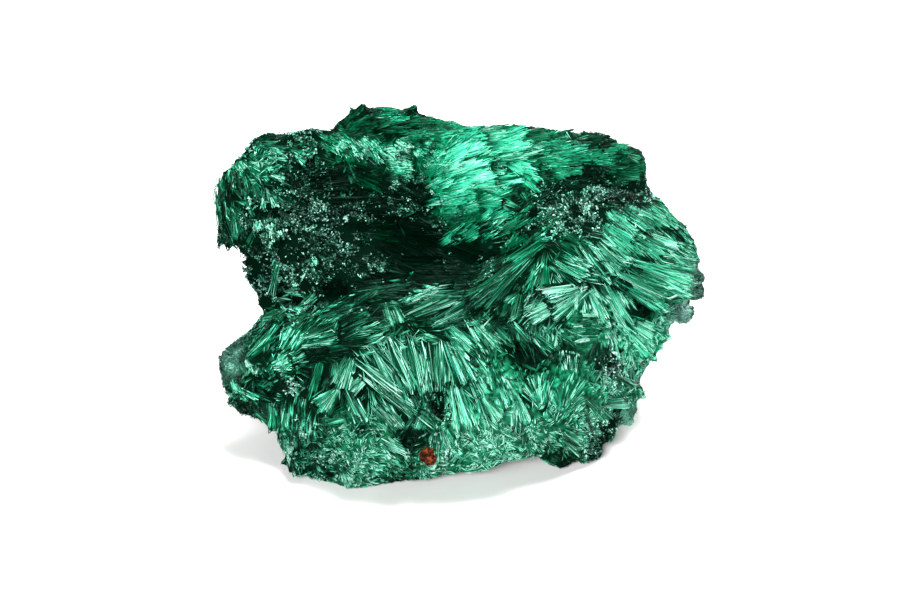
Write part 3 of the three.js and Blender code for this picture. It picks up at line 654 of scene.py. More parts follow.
def grow_blade(growth, rng, settings, tree, root, tip, face, widths, tone, silver, habit, lift):
    """Adds one flat blade: fibres fused side by side, all facing the same way, from root to tip."""
    _, span, stray, _, contrast = habit
    side = unit(np.cross(face, tip - root))
    count = max(4, round(max(widths) / settings.fibre_pitch))
    across = (np.arange(count) + rng.uniform(0.2, 0.8, count)) / count - 0.5
    begin = root + side * (across * widths[0])[:, None]
    finish = tip + side * (across * widths[1])[:, None]
    finish = finish + rng.normal(0, stray, (count, 1)) * np.linalg.norm(tip - root) * side
    part = np.minimum(span * rng.uniform(0.8, 1.3, count), 1)
    late = (rng.uniform(0, 1, count) * (1 - part))[:, None]
    start = begin + (finish - begin) * late
    stop = begin + (finish - begin) * (late + part[:, None])
    # A blade is tilted as a whole, so that its neighbours catch the light differently.
    roll = rng.normal(0, 0.35)
    high = lift + math.sin(roll) * across * max(widths) * 0.6 + rng.uniform(-0.02, 0.03, count) * MM
    start, stop = settled(tree, start, stop, lift - 0.1 * MM, high)
    # Fibres taper towards their starts, so where the blade is as wide at its root some run backwards.
    back = rng.uniform(size=count) < 0.5 * min(widths[0] / widths[1], 1)
    start, stop = np.where(back[:, None], stop, start), np.where(back[:, None], start, stop)
    reach = np.linalg.norm(stop - start, axis=1)
    facing = unit(face * math.cos(roll) + side * math.sin(roll) + side * rng.normal(0, 0.2, count)[:, None])
    wide = 1.5 * max(widths) / count * rng.uniform(0.7, 1.2, count)
    deep = settings.fibre_depth * rng.uniform(0.6, 1.0, count)
    # Some fibres are painted dark, as the shade in the thin gaps between them.
    is_dark = rng.uniform(size=count) < 0.15
    light = tone * rng.normal(1.05, 0.13 * contrast, count) * np.where(is_dark, 1 - 0.62 * contrast, 1)
    # Painted glints: a few fibres are made lighter and more silvery.
    glint = rng.uniform(size=count) < GLINT_SHARE
    sheen = silver + 0.4 * glint + rng.normal(0, 0.16, count)
    growth.add(start, unit(stop - start), facing, [deep, wide, reach], [light * (1 + 0.35 * glint), sheen])


# The usual breadth of one blade or wisp at a fan's open end.
BLADE_BREADTH = 0.7 * MM


def grow_fan(growth, rng, settings, tree, fan, habit):
    """Adds one listed fan, as layers of blades or wisps that hug the solid."""
    across, down, tip_across, tip_down, spread, width, tone, silver = fan
    form, span, stray, uneven, contrast = habit
    base = tree.ray_cast(EYE, sight(across, down))
    end = tree.ray_cast(EYE, sight(tip_across, tip_down))
    if base[0] is None:
        inner = [0.8 * place + 0.2 * middle for place, middle in zip((across, down), VIEW_MIDDLE)]
        base = tree.ray_cast(EYE, sight(*inner))
    if end[0] is None:
        depth = (base[0] - EYE).dot(TOWARDS_EYE)
        way = sight(tip_across, tip_down)
        end = (EYE + way * (depth / way.dot(TOWARDS_EYE)), base[1])
    root, tip = np.array(base[0]), np.array(end[0])
    face = unit(np.array(base[1]) + np.array(end[1]) + 0.6 * np.array(TOWARDS_EYE))
    along = tip - root
    length = np.linalg.norm(along)
    side = unit(np.cross(face, along))
    width = width * MM
    open_width = width + 2 * length * math.tan(math.radians(spread) / 2)
    blades = max(2, round(max(width, open_width) / BLADE_BREADTH))
    for layer in range(3):
        for i in range(blades + (layer == 0)):
            # The lowest layer lies across the gaps of the others, and is painted darker, as the shade in
            # those gaps.
            u = (i + rng.uniform(0.3, 0.7) - 0.5 * (layer == 0)) / blades - 0.5
            near = rng.uniform(0, 0.4) if layer == 2 else 0
            far = rng.uniform(near + 0.45, 1.05) if layer == 2 else rng.uniform(0.88, 1.05)
            if form == "silk":
                # Wisps begin and end anywhere, so that no edge shows where they do.
                near = rng.uniform(-0.25, 0.5)
                far = near + rng.uniform(0.45, 0.75)
            start = root + along * near + side * (u * (width + (open_width - width) * near))
            stop = root + along * far + side * (u * (width + (open_width - width) * far))
            start, _ = snapped(tree, start)
            stop, normal = snapped(tree, stop, 1.5 * MM)
            lean = face if normal is None else unit(face + 0.5 * normal)
            under = 0.45 + 0.25 * tone if form == "blades" else 0.92
            # Neighbours differ in tone, but none is far lighter than the rest.
            shade = tone * (under, 1.0, 1.06)[layer] * min(rng.normal(1.0, uneven), 1.3)
            if form == "blades":
                part = rng.uniform(0.75, 0.95) / blades
                widths = [part * (width + (open_width - width) * place) for place in (near, far)]
                lift = (-0.03, 0.04, 0.12)[layer] * MM + rng.uniform(-0.03, 0.05) * MM
                grow_blade(
                    growth, rng, settings, tree, start, stop, lean, widths, shade,
                    silver + rng.normal(0, 0.1), habit, lift,
                )
                continue
            start = start + lean * ((0.08 * layer - 0.15) * MM)
            stop = stop + lean * ((0.14 * layer + rng.uniform(-0.06, 0.1)) * MM)
            grow_wisp(
                growth, rng, settings, start, stop, lean, settings.wisp_needles, shade, silver,
                0.8 * MM, 0.04 + 0.6 * math.radians(spread) / blades, span, stray, tree, layer,
                0.8, contrast,
            )


def scattered(rng, corners, faces, number):
    """Random places on the solid, even by area, with their faces' normals."""
    a, b, c = (corners[faces[:, i]] for i in range(3))
    cross = np.cross(b - a, c - a)
    area = np.linalg.norm(cross, axis=1)
    pick = rng.choice(len(faces), number, p=area / area.sum())
    u, v = rng.uniform(size=(2, number))
    flip = u + v > 1
    u[flip], v[flip] = 1 - u[flip], 1 - v[flip]
    place = a[pick] + (b - a)[pick] * u[:, None] + (c - a)[pick] * v[:, None]
    return place, unit(cross[pick])


def growing_places(rng, surface, number, hidden_share):
    """Random places on the solid, fewer away from the view, with normals and whether they're seen."""
    corners, faces, tree = surface
    place, normal = scattered(rng, corners, faces, number)
    seen = in_sight(tree, place, normal)
    kept = seen | (rng.uniform(size=number) < hidden_share)
    return place[kept], normal[kept], seen[kept]


def in_sight(tree, place, normal):
    """Whether each place is seen from the eye."""
    seen = np.zeros(len(place), bool)
    for i, (p, n) in enumerate(zip(place, normal)):
        start = Vector(p) + Vector(n) * 0.2 * MM
        way = EYE - start
        if way.dot(Vector(n)) > 0:
            seen[i] = tree.ray_cast(start, way.normalized())[0] is None
    return seen


def patch(places, size, shift=0.0):
    """Smooth random values from about -1 to 1, with patches of this size."""
    away = Vector((shift, 3.1, 7.7))
    return np.array([land.noise(Vector(p) / size + away) for p in places])


# The places from which the growth radiates where it isn't seen in the view.
FAR_CENTRES = 60


class Fields:
    """What grows where, how light and silvery it is, and which way it lies."""

    def __init__(self, surface):
        corners, faces, _ = surface
        fans = np.array([fan for group in FANS.values() for fan in group])
        self.middles = (fans[:, 0:2] + fans[:, 2:4]) / 2
        self.ways = unit(fans[:, 2:4] - fans[:, 0:2])
        self.roots, self.reach = fans[:, 0:2], np.linalg.norm(fans[:, 2:4] - fans[:, 0:2], axis=1)
        self.widths, self.slopes = fans[:, 5] * MM / VIEW_UNIT, np.tan(np.radians(fans[:, 4]) / 2)
        self.spots = np.array([ground[:5] for ground in GROUNDS])
        self.kinds = np.array([ground[5] for ground in GROUNDS])
        self.centres, _ = scattered(np.random.default_rng(3), corners, faces, FAR_CENTRES)

    def at(self, rng, place, seen):
        """Arrays of kind, tone, silver and way at places on the solid."""
        spots = place_in_view(place)
        far = np.linalg.norm(spots[:, None] - self.spots[None, :, :2], axis=2) / self.spots[:, 2]
        weight = np.exp(-1.8 * far**2) + 1e-9 / (1 + far)
        weight /= weight.sum(1, keepdims=True)
        draw = rng.uniform(size=(len(place), 1))
        kind = self.kinds[np.minimum((weight.cumsum(1) < draw).sum(1), len(self.kinds) - 1)]
        tone = weight @ self.spots[:, 3]
        silver = weight @ self.spots[:, 4]
        far = np.linalg.norm(spots[:, None] - self.middles[None], axis=2)
        weight = np.exp(-((far / 14) ** 2)) + 1e-6 / (1 + far**2)
        lie = unit(weight @ self.ways)
        way = lie[:, :1] * np.array((1.0, 0, 0)) - lie[:, 1:] * np.array(VIEW_UP)
        # Away from the view it grows in soft patches, and lies away from the nearest centre.
        unseen = np.flatnonzero(~seen)
        grain = patch(place[unseen], 7 * MM)
        kind[unseen] = np.where(grain > 0.28, "druse", np.where(grain < -0.3, "mat", "silk"))
        tone[unseen] = 0.46 + 0.35 * patch(place[unseen], 6 * MM, 20.0) - 0.14 * (grain > 0.28)
        silver[unseen] = 0.3 + 0.4 * patch(place[unseen], 9 * MM, 40.0)
        arms = place[unseen][:, None] - self.centres[None]
        near = np.argmin(np.linalg.norm(arms, axis=2), axis=1)
        way[unseen] = arms[np.arange(len(unseen)), near]
        return kind, tone, silver, way

    def on_fan(self, place):
        """Whether places are on one of the listed fans, as seen in the view."""
        arms = place_in_view(place)[:, None] - self.roots[None]
        along = (arms * self.ways).sum(2)
        off = np.abs(arms[:, :, 0] * self.ways[:, 1] - arms[:, :, 1] * self.ways[:, 0])
        half = self.widths / 2 + np.maximum(along, 0) * self.slopes
        return ((along > 0) & (along < self.reach) & (off < half)).any(1)


# A tuft's needles by what grows: how fine they are beside a fan's loose needles, how much their tone
# varies, and the most that they lift off the ground.
TUFT_HABITS = {
    "mat": (0.58, 0.95, 0.5 * MM),
    "silk": (0.75, 0.8, 0.22 * MM),
    "velvet": (0.65, 0.28, 0.14 * MM),
}


# The pieces of tufts: three that are parted along X at these bounds, one of the sides that aren't
# seen in the view, and one of dark silk.
TUFTS = ("left_tufts", "middle_tufts", "right_tufts", "far_tufts", "dark_tufts")
TUFT_BOUNDS = (-9 * MM, 9 * MM)

# The tone below which a tuft is of the dark silk, the shaded copy with little sheen.
DARK_TONE = 0.2


def grow_tufts(growths, rng, settings, surface, fields):
    """Fills the solid with small tufts and matted needles, by what grows where."""
    tree = surface[2]
    place, normal, seen = growing_places(rng, surface, settings.tufts, settings.hidden_share)
    kinds, *rest = fields.at(rng, place, seen)
    # Tufts under the listed fans lie lower and are painted darker, as the shade between the fans' blades,
    # which they only fill.
    under = seen & fields.on_fan(place)
    rows = zip(place, normal, seen, kinds, under, *rest)
    for p, n, is_seen, kind, is_under, tone, silver, way in rows:
        if kind in ("druse", "stone"):
            continue
        third = np.searchsorted(TUFT_BOUNDS, p[0])
        name = TUFTS[third] if is_seen else "far_tufts"
        growth = growths["dark_tufts" if is_seen and tone < DARK_TONE else name]
        way = unit(way - n * (way @ n))
        if kind == "mat" and not is_under:
            length, spread, wisps = rng.uniform(0.8, 2.0) * MM, 1.2, 5
            way = unit(way + rng.normal(0, 0.9, 3))
        elif kind == "velvet":
            length, spread, wisps = rng.uniform(0.7, 1.4) * MM, 0.5, 3
            way = unit(way + rng.normal(0, 0.35, 3))
        else:
            length, spread, wisps = rng.uniform(1.8, 3.6) * MM, 0.3, 2
            way = unit(way + rng.normal(0, 0.16, 3))
        way = unit(way - n * (way @ n))
        side = np.cross(n, way)
        spare = rng.normal(0, 0.22 if kind == "mat" else 0.08)
        fine, contrast, high = TUFT_HABITS[kind]
        uneven = 0.3 * contrast
        if not is_seen:
            # Away from the view the needles are fewer, broader and more alike.
            fine, contrast = 1.8 * fine, 0.7 * contrast
        for _ in range(wisps):
            u = rng.uniform(-0.5, 0.5)
            aim = unit(way + side * (u * spread))
            stop, _ = snapped(tree, p + aim * length, 1.2 * MM)
            lift = 0.02 * MM if is_under else rng.uniform(0.05 * MM, high)
            start = p - n * 0.12 * MM + side * u * 0.5 * MM
            level = 0.4 + 0.35 * tone if is_under else 1.1 if kind == "mat" else 1.0
            shade = tone * rng.normal(level, uneven)
            grow_wisp(
                growth, rng, settings, start, stop + n * lift, n, 3 if is_seen else 4,
                shade, silver + spare, 0.35 * MM, 0.1, fine=fine, contrast=contrast,
            )


# The places that are tried for each crumb, because druse covers only a part of the solid.
DRUSE_TRIES = 22


def grow_druse(growth, rng, settings, surface, fields):
    """Adds the crust of tiny stout crystals where druse grows, in crumbs with gaps between."""
    number = settings.druse_domes * DRUSE_TRIES
    place, normal, seen = growing_places(rng, surface, number, 0.4 * settings.hidden_share)
    kind, tone, silver, _ = fields.at(rng, place, seen)
    crowded = patch(place, 0.9 * MM, 30.0) + patch(place, 2.2 * MM, 35.0) > -0.25
    tone = tone * (1 + 0.8 * patch(place, 1.8 * MM, 45.0))
    kept = np.flatnonzero(((kind == "druse") & crowded) | (kind == "stone"))[: settings.druse_domes]
    each = settings.dome_crystals
    place, normal, tone, silver, plain = (
        np.repeat(values[kept], each, axis=0) for values in (place, normal, tone, silver, kind == "stone")
    )
    number = len(place)
    radius = np.repeat(rng.uniform(0.0, 0.28, len(kept)), each) * MM
    light = np.repeat(rng.choice([0.3, 1.0, 1.9], len(kept), p=[0.3, 0.4, 0.3]), each)
    light = np.where(plain, 1, light * rng.normal(1.0, 0.3, number))
    way = unit(rng.normal(0, 1, (number, 3)) + 0.9 * normal)
    up = (way * normal).sum(1)
    aim = np.where((up < 0)[:, None], way - 2 * normal * up[:, None], way)
    start = place - normal * 0.2 * MM + rng.normal(0, 0.07, (number, 3)) * MM
    # A few crystals are painted bright, as glints of light off their faces.
    bright = (rng.uniform(size=number) < 0.08) & ~plain
    reach = 0.2 * MM + radius + rng.uniform(0.02, 0.22, number) * np.where(bright, 0.3, 1) * MM
    face = unit(np.cross(aim, rng.normal(0, 1, (number, 3))))
    wide = rng.uniform(0.12, 0.28, number) * MM
    size = [wide, wide * rng.uniform(0.7, 1, number), reach]
    shade = np.where(bright, rng.uniform(0.6, 0.95, number), tone * light)
    growth.add(start, aim, face, size, [shade, silver + rng.normal(0.1, 0.15, number)])


# Node trees.


def add_node(tree, kind, settings=None, links=None, **inputs):
    """Adds a node with its settings, its fixed inputs and its links from other sockets."""
    node = tree.nodes.new(kind)
    for name, value in (settings or {}).items():
        setattr(node, name, value)
    for name, value in inputs.items():
        node.inputs[name.replace("_", " ")].default_value = value
    for name, socket in (links or {}).items():
        tree.links.new(socket, node.inputs[name])
    return node


def new_tree(name, sockets):
    """A geometry tree with a Geometry input and output, and the named inputs given."""
    tree = bpy.data.node_groups.new(name, "GeometryNodeTree")
    tree.is_modifier = True
    tree.interface.new_socket("Geometry", in_out="INPUT", socket_type="NodeSocketGeometry")
    for socket_name, kind in sockets:
        tree.interface.new_socket(socket_name, in_out="INPUT", socket_type=kind)
    tree.interface.new_socket("Geometry", in_out="OUTPUT", socket_type="NodeSocketGeometry")
    return tree, tree.nodes.new("NodeGroupInput"), tree.nodes.new("NodeGroupOutput")


def needle_tree():
    """Puts a needle on each point, turned and sized by the point's attributes."""
    tree, start, end = new_tree("Needles", [
        ("Sides", "NodeSocketInt"),
        ("Shoulder", "NodeSocketFloat"),
        ("Root width", "NodeSocketFloat"),
        ("Material", "NodeSocketMaterial"),
    ])
    # The needle: narrow at its root, widest at its shoulder, then a short point.
    shaft = add_node(tree, "GeometryNodeMeshCone", {"fill_type": "NONE"}, {
        "Vertices": start.outputs["Sides"],
        "Depth": start.outputs["Shoulder"],
        "Radius Bottom": start.outputs["Root width"],
    }, Radius_Top=0.5)
    length = add_node(tree, "ShaderNodeMath", {"operation": "SUBTRACT"}, {1: start.outputs["Shoulder"]})
    length.inputs[0].default_value = 1.0
    point = add_node(tree, "GeometryNodeMeshCone", {"fill_type": "NONE"}, {
        "Vertices": start.outputs["Sides"],
        "Depth": length.outputs[0],
    }, Radius_Top=0.0, Radius_Bottom=0.5)
    raised = add_node(tree, "ShaderNodeCombineXYZ", None, {"Z": start.outputs["Shoulder"]})
    moved = add_node(tree, "GeometryNodeTransform", None, {
        "Geometry": point.outputs["Mesh"],
        "Translation": raised.outputs[0],
    })
    joined = add_node(tree, "GeometryNodeJoinGeometry")
    tree.links.new(shaft.outputs["Mesh"], joined.inputs[0])
    tree.links.new(moved.outputs[0], joined.inputs[0])
    closed = add_node(tree, "GeometryNodeMergeByDistance", None, {"Geometry": joined.outputs[0]},
                      Distance=1e-4)
    flat = add_node(tree, "GeometryNodeSetShadeSmooth", None, {"Geometry": closed.outputs[0]},
                    Shade_Smooth=False)
    position = add_node(tree, "GeometryNodeInputPosition")
    parts = add_node(tree, "ShaderNodeSeparateXYZ", None, {"Vector": position.outputs[0]})
    along = add_node(tree, "GeometryNodeStoreNamedAttribute", {"data_type": "FLOAT", "domain": "POINT"}, {
        "Geometry": flat.outputs[0],
        "Value": parts.outputs["Z"],
    }, Name="along")
    across = add_node(tree, "GeometryNodeStoreNamedAttribute", {"data_type": "FLOAT", "domain": "POINT"}, {
        "Geometry": along.outputs[0],
        "Value": parts.outputs["X"],
    }, Name="across")
    aim = add_node(tree, "GeometryNodeInputNamedAttribute", {"data_type": "FLOAT_VECTOR"}, Name="aim")
    face = add_node(tree, "GeometryNodeInputNamedAttribute", {"data_type": "FLOAT_VECTOR"}, Name="face")
    size = add_node(tree, "GeometryNodeInputNamedAttribute", {"data_type": "FLOAT_VECTOR"}, Name="size")
    pointed = add_node(tree, "FunctionNodeAlignRotationToVector", {"axis": "Z"}, {
        "Vector": aim.outputs["Attribute"],
    })
    turned = add_node(tree, "FunctionNodeAlignRotationToVector", {"axis": "X", "pivot_axis": "Z"}, {
        "Rotation": pointed.outputs[0],
        "Vector": face.outputs["Attribute"],
    })
    placed = add_node(tree, "GeometryNodeInstanceOnPoints", None, {
        "Points": start.outputs["Geometry"],
        "Instance": across.outputs[0],
        "Rotation": turned.outputs[0],
        "Scale": size.outputs["Attribute"],
    })
    real = add_node(tree, "GeometryNodeRealizeInstances", None, {"Geometry": placed.outputs[0]})
    dressed = add_node(tree, "GeometryNodeSetMaterial", None, {
        "Geometry": real.outputs[0],
        "Material": start.outputs["Material"],
    })
    tree.links.new(dressed.outputs[0], end.inputs[0])
    return tree


def ground_tree():
    """Roughens a closed mesh along its normals and sinks it under the needles."""
    tree, start, end = new_tree("Ground", [
        ("Inset", "NodeSocketFloat"),
        ("Rough height", "NodeSocketFloat"),
        ("Grain size", "NodeSocketFloat"),
        ("Material", "NodeSocketMaterial"),
    ])
    scale = add_node(tree, "ShaderNodeMath", {"operation": "DIVIDE"}, {1: start.outputs["Grain size"]})
    scale.inputs[0].default_value = 1.0
    grain = add_node(tree, "ShaderNodeTexNoise", {"noise_dimensions": "3D"}, {
        "Scale": scale.outputs[0],
    }, Detail=3.0, Roughness=0.65)
    centred = add_node(tree, "ShaderNodeMath", {"operation": "SUBTRACT"}, {0: grain.outputs[0]})
    centred.inputs[1].default_value = 0.5
    height = add_node(tree, "ShaderNodeMath", {"operation": "MULTIPLY"}, {
        0: centred.outputs[0],
        1: start.outputs["Rough height"],
    })
    sunk = add_node(tree, "ShaderNodeMath", {"operation": "SUBTRACT"}, {
        0: height.outputs[0],
        1: start.outputs["Inset"],
    })
    normal = add_node(tree, "GeometryNodeInputNormal")
    push = add_node(tree, "ShaderNodeVectorMath", {"operation": "SCALE"}, {
        0: normal.outputs[0],
        "Scale": sunk.outputs[0],
    })
    moved = add_node(tree, "GeometryNodeSetPosition", None, {
        "Geometry": start.outputs["Geometry"],
        "Offset": push.outputs[0],
    })
    dressed = add_node(tree, "GeometryNodeSetMaterial", None, {
        "Geometry": moved.outputs[0],
        "Material": start.outputs["Material"],
    })
    real = add_node(tree, "GeometryNodeRealizeInstances", None, {"Geometry": dressed.outputs[0]})
    tree.links.new(real.outputs[0], end.inputs[0])
    return tree


def run_tree(obj, tree, **values):
    """Gives an object a Geometry Nodes modifier with its inputs set by name."""
    modifier = obj.modifiers.new(tree.name, "NODES")
    modifier.node_group = tree
    for item in tree.interface.items_tree:
        key = item.name.replace(" ", "_").lower()
        if item.item_type == "SOCKET" and item.in_out == "INPUT" and key in values:
            modifier[item.identifier] = values[key]


def made_plain(obj, name):
    """A new object with the evaluated mesh of another, which is removed."""
    mesh = bpy.data.meshes.new_from_object(obj.evaluated_get(bpy.context.evaluated_depsgraph_get()))
    mesh.name = name
    while len(mesh.materials) > 1:
        mesh.materials.pop(index=0)
    plain = bpy.data.objects.new(name, mesh)
    bpy.context.scene.collection.objects.link(plain)
    source = obj.data
    bpy.data.objects.remove(obj)
    bpy.data.meshes.remove(source)
    return plain


# Needles have three sides, the fewest that a closed one can have.
NEEDLE_SIDES = 3

# How far a needle's tip may pass the solid's box and its outline in the view, how far its middle may
# stand off the solid, and the least height of its root.
BOX_FRINGE = 0.4 * MM
OUTLINE_FRINGE = 0.05 * MM
MIDDLE_FRINGE = 1.0 * MM
LOWEST_ROOT = 0.15 * MM


def stands_clear(surface, spot, fringe):
    """Whether a spot is off the solid by more than the fringe, or by a hair around its outline."""
    is_beside = surface.ray_cast(EYE, (spot - EYE).normalized())[0] is None
    return surface.find_nearest(spot, OUTLINE_FRINGE if is_beside else fringe)[0] is None


def needles_from(growth, name, material, shoulder=0.8, fringe=FRINGE):
    """One mesh of all the needles of a growth that stay inside the solid's reach."""
    data = growth.arrays()
    tips = data["root"] + data["aim"] * data["size"][:, 2:3]
    low = np.array(CAD_BOX[0]) - BOX_FRINGE
    high = np.array(CAD_BOX[1]) + BOX_FRINGE
    low[2] = 0.0
    kept = ((tips > low) & (tips < high)).all(1) & (data["root"][:, 2] > LOWEST_ROOT)
    # Needles lie close, so the few that would stand clear of the solid are left out.
    _, _, surface = solid_surface()
    for i in np.flatnonzero(kept):
        root, tip = Vector(data["root"][i]), Vector(tips[i])
        is_middle_clear = stands_clear(surface, root.lerp(tip, 0.5), MIDDLE_FRINGE)
        kept[i] = not (is_middle_clear or stands_clear(surface, tip, fringe))
    data = {key: values[kept] for key, values in data.items()}
    points = bpy.data.meshes.new(name + "_points")
    points.vertices.add(len(data["root"]))
    points.vertices.foreach_set("co", data["root"].ravel())
    for key in ("aim", "face", "size"):
        layer = points.attributes.new(key, "FLOAT_VECTOR", "POINT")
        layer.data.foreach_set("vector", data[key].ravel())
    for i, key in enumerate(("tone", "silver")):
        layer = points.attributes.new(key, "FLOAT", "POINT")
        layer.data.foreach_set("value", np.ascontiguousarray(data["tint"][:, i]))
    source = bpy.data.objects.new(name + "_points", points)
    bpy.context.scene.collection.objects.link(source)
    tree = bpy.data.node_groups.get("Needles") or needle_tree()
    run_tree(source, tree, sides=NEEDLE_SIDES, shoulder=shoulder, root_width=0.0, material=material)
    piece = made_plain(source, name)
    for key in ("aim", "face", "size"):
        if key in piece.data.attributes:
            piece.data.attributes.remove(piece.data.attributes[key])
    map_tints(piece.data)
    return piece


# The rows of the bake's picture, one for each step of silver.
SILVER_ROWS = 4


def map_tints(mesh):
    """A UV map for baking: across by tone and up by silver and by place along the needle."""
    number = len(mesh.vertices)
    values = {}
    for key in ("tone", "silver", "along", "across"):
        values[key] = np.empty(number, np.float32)
        mesh.attributes[key].data.foreach_get("value", values[key])
    row = np.minimum(np.floor(values["silver"] * SILVER_ROWS), SILVER_ROWS - 1)
    u = 0.01 + 0.98 * values["tone"] + 0.004 * values["across"]
    v = (row + 0.06 + 0.88 * np.clip(values["along"], 0, 1)) / SILVER_ROWS
    corner = np.empty(len(mesh.loops), np.int32)
    mesh.loops.foreach_get("vertex_index", corner)
    layer = mesh.uv_layers.new(name="OFBake")
    layer.uv.foreach_set("vector", np.stack([u, v], 1)[corner].astype(np.float32).ravel())
    mesh.attributes.remove(mesh.attributes["across"])


# Materials.


def new_material(name):
    """A material, its node tree and its shader."""
    material = bpy.data.materials.new(name)
    material.use_nodes = True
    return material, material.node_tree, material.node_tree.nodes["Principled BSDF"]


def set_ramp(node, stops):
    """Gives a colour ramp its stops, as pairs of a place and a linear colour."""
    elements = node.color_ramp.elements
    while len(elements) > 1:
        elements.remove(elements[-1])
    elements[0].position = stops[0][0]
    elements[0].color = (*stops[0][1], 1)
    for position, value in stops[1:]:
        elements.new(position).color = (*value, 1)


# Colours of the silvery growth from dark to light, where the palest is the silver that a user sets,
# and the tones between which it shows: on silk where it's light, partly the fibres' grey and partly
# painted sheen, and on druse and nodules, as their own grey, nearly all over.
SILKY_GREYS = (("#010403", "#051713", "#396c5b", "#82bda8"), (0.26, 0.78))
STONY_GREYS = (("#010403", "#0b1815", "#3c5f55", "#7fa69b"), (0.0, 0.3))


def fibre_material(settings, name, roughness, specular, root_shade, greys=SILKY_GREYS):
    """Silky malachite: dark at a needle's root, and from emerald to pale or silvery mint by tone."""
    material, tree, shader = new_material(name)
    tone = add_node(tree, "ShaderNodeAttribute", {"attribute_name": "tone"})
    silver = add_node(tree, "ShaderNodeAttribute", {"attribute_name": "silver"})
    along = add_node(tree, "ShaderNodeAttribute", {"attribute_name": "along"})
    # Fibres look darker where their neighbours shade them, towards the root.
    shade = add_node(tree, "ShaderNodeMapRange", None, {"Value": along.outputs["Fac"]},
                     From_Max=0.7, To_Min=1 - root_shade, To_Max=1.0)
    lit = add_node(tree, "ShaderNodeMath", {"operation": "MULTIPLY", "use_clamp": True}, {
        0: tone.outputs["Fac"],
        1: shade.outputs[0],
    })
    green = add_node(tree, "ShaderNodeValToRGB", None, {"Fac": lit.outputs[0]})
    set_ramp(green, [
        (0.0, settings.deep_green),
        (0.28, linear("#00190b")),
        (0.52, settings.emerald),
        (0.76, settings.mint),
        (1.0, settings.pale_mint),
    ])
    grey = add_node(tree, "ShaderNodeValToRGB", None, {"Fac": lit.outputs[0]})
    set_ramp(grey, [
        *zip((0.0, 0.28, 0.52, 0.76), map(linear, greys[0])),
        (1.0, settings.silver),
    ])
    shown = add_node(tree, "ShaderNodeMapRange", None, {"Value": lit.outputs[0]},
                     From_Min=greys[1][0], From_Max=greys[1][1])
    share = add_node(tree, "ShaderNodeMath", {"operation": "MULTIPLY"}, {
        0: silver.outputs["Fac"],
        1: shown.outputs[0],
    })
    mixed = add_node(tree, "ShaderNodeMix", {"data_type": "RGBA"}, {"Factor": share.outputs[0]})
    tree.links.new(green.outputs["Color"], mixed.inputs[6])
    tree.links.new(grey.outputs["Color"], mixed.inputs[7])
    tree.links.new(mixed.outputs[2], shader.inputs["Base Color"])
    shader.inputs["Roughness"].default_value = roughness
    shader.inputs["Specular IOR Level"].default_value = specular
    # Malachite's own index is 1.65 and more, a little lower here for the soft sheen of its fibres.
    shader.inputs["IOR"].default_value = 1.6
    # Light is reflected off fibre after fibre, so the sheen is green too.
    shader.inputs["Specular Tint"].default_value = (0.35, 1.0, 0.75, 1)
    return material


def rust_material(settings):
    """Iron oxide: earthy and dull, rust brown with darker grains."""
    material, tree, shader = new_material("iron_oxide")
    place = add_node(tree, "ShaderNodeTexCoord")
    grain = add_node(tree, "ShaderNodeTexNoise", None, {"Vector": place.outputs["Object"]},
                     Scale=1 / (0.5 * MM), Detail=3.0)
    ramp = add_node(tree, "ShaderNodeValToRGB", None, {"Fac": grain.outputs[0]})
    set_ramp(ramp, [
        (0.38, linear("#140400")),
        (0.52, settings.rust),
        (0.68, linear("#7c3f1c")),
    ])
    tree.links.new(ramp.outputs["Color"], shader.inputs["Base Color"])
    shader.inputs["Roughness"].default_value = 0.9
    shader.inputs["Specular IOR Level"].default_value = 0.1
    return material


# Pieces.


def finish_piece(piece):
    """Puts a piece on the solid's body, where it keeps its place, and hides the solid."""
    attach(piece, "root")
    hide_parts(SOLID)


# How light the ground is beside what grows on it, where it's seen and where it isn't: it is painted darker,
# as the shade in the gaps between the needles, most of all where it's seen.
GROUND_SHARES = {"silk": 0.3, "druse": 0.22, "mat": 0.6, "velvet": 0.88, "stone": 0.95}
UNSEEN_SHARE = 0.85


def tint_ground(mesh, fields):
    """Gives the ground the tints of what grows on it, grainy and painted darker as the shade between the
    needles.
    """
    number = len(mesh.vertices)
    place = np.empty(number * 3, np.float32)
    mesh.vertices.foreach_get("co", place)
    place = place.reshape(-1, 3).astype(float)
    normal = np.array([v.normal for v in mesh.vertices])
    rng = np.random.default_rng(5)
    seen = in_sight(solid_surface()[2], place + normal * 0.5 * MM, normal)
    kind, tone, silver, _ = fields.at(rng, place, seen)
    grain = patch(place, 0.7 * MM, 60.0) * 0.25 + rng.normal(0, 0.06, number)
    share = np.where(seen, [GROUND_SHARES[name] for name in kind], UNSEEN_SHARE)
    values = {
        "tone": np.clip(tone * share * (1 + 2 * grain), 0.01, 0.99),
        "silver": np.clip(silver * np.where(kind == "stone", 1, 0.5), 0.01, 0.99),
        "along": np.full(number, 0.6),
        "across": np.zeros(number),
    }
    for key, value in values.items():
        layer = mesh.attributes.new(key, "FLOAT", "POINT")
        layer.data.foreach_set("value", value.astype(np.float32))
    map_tints(mesh)


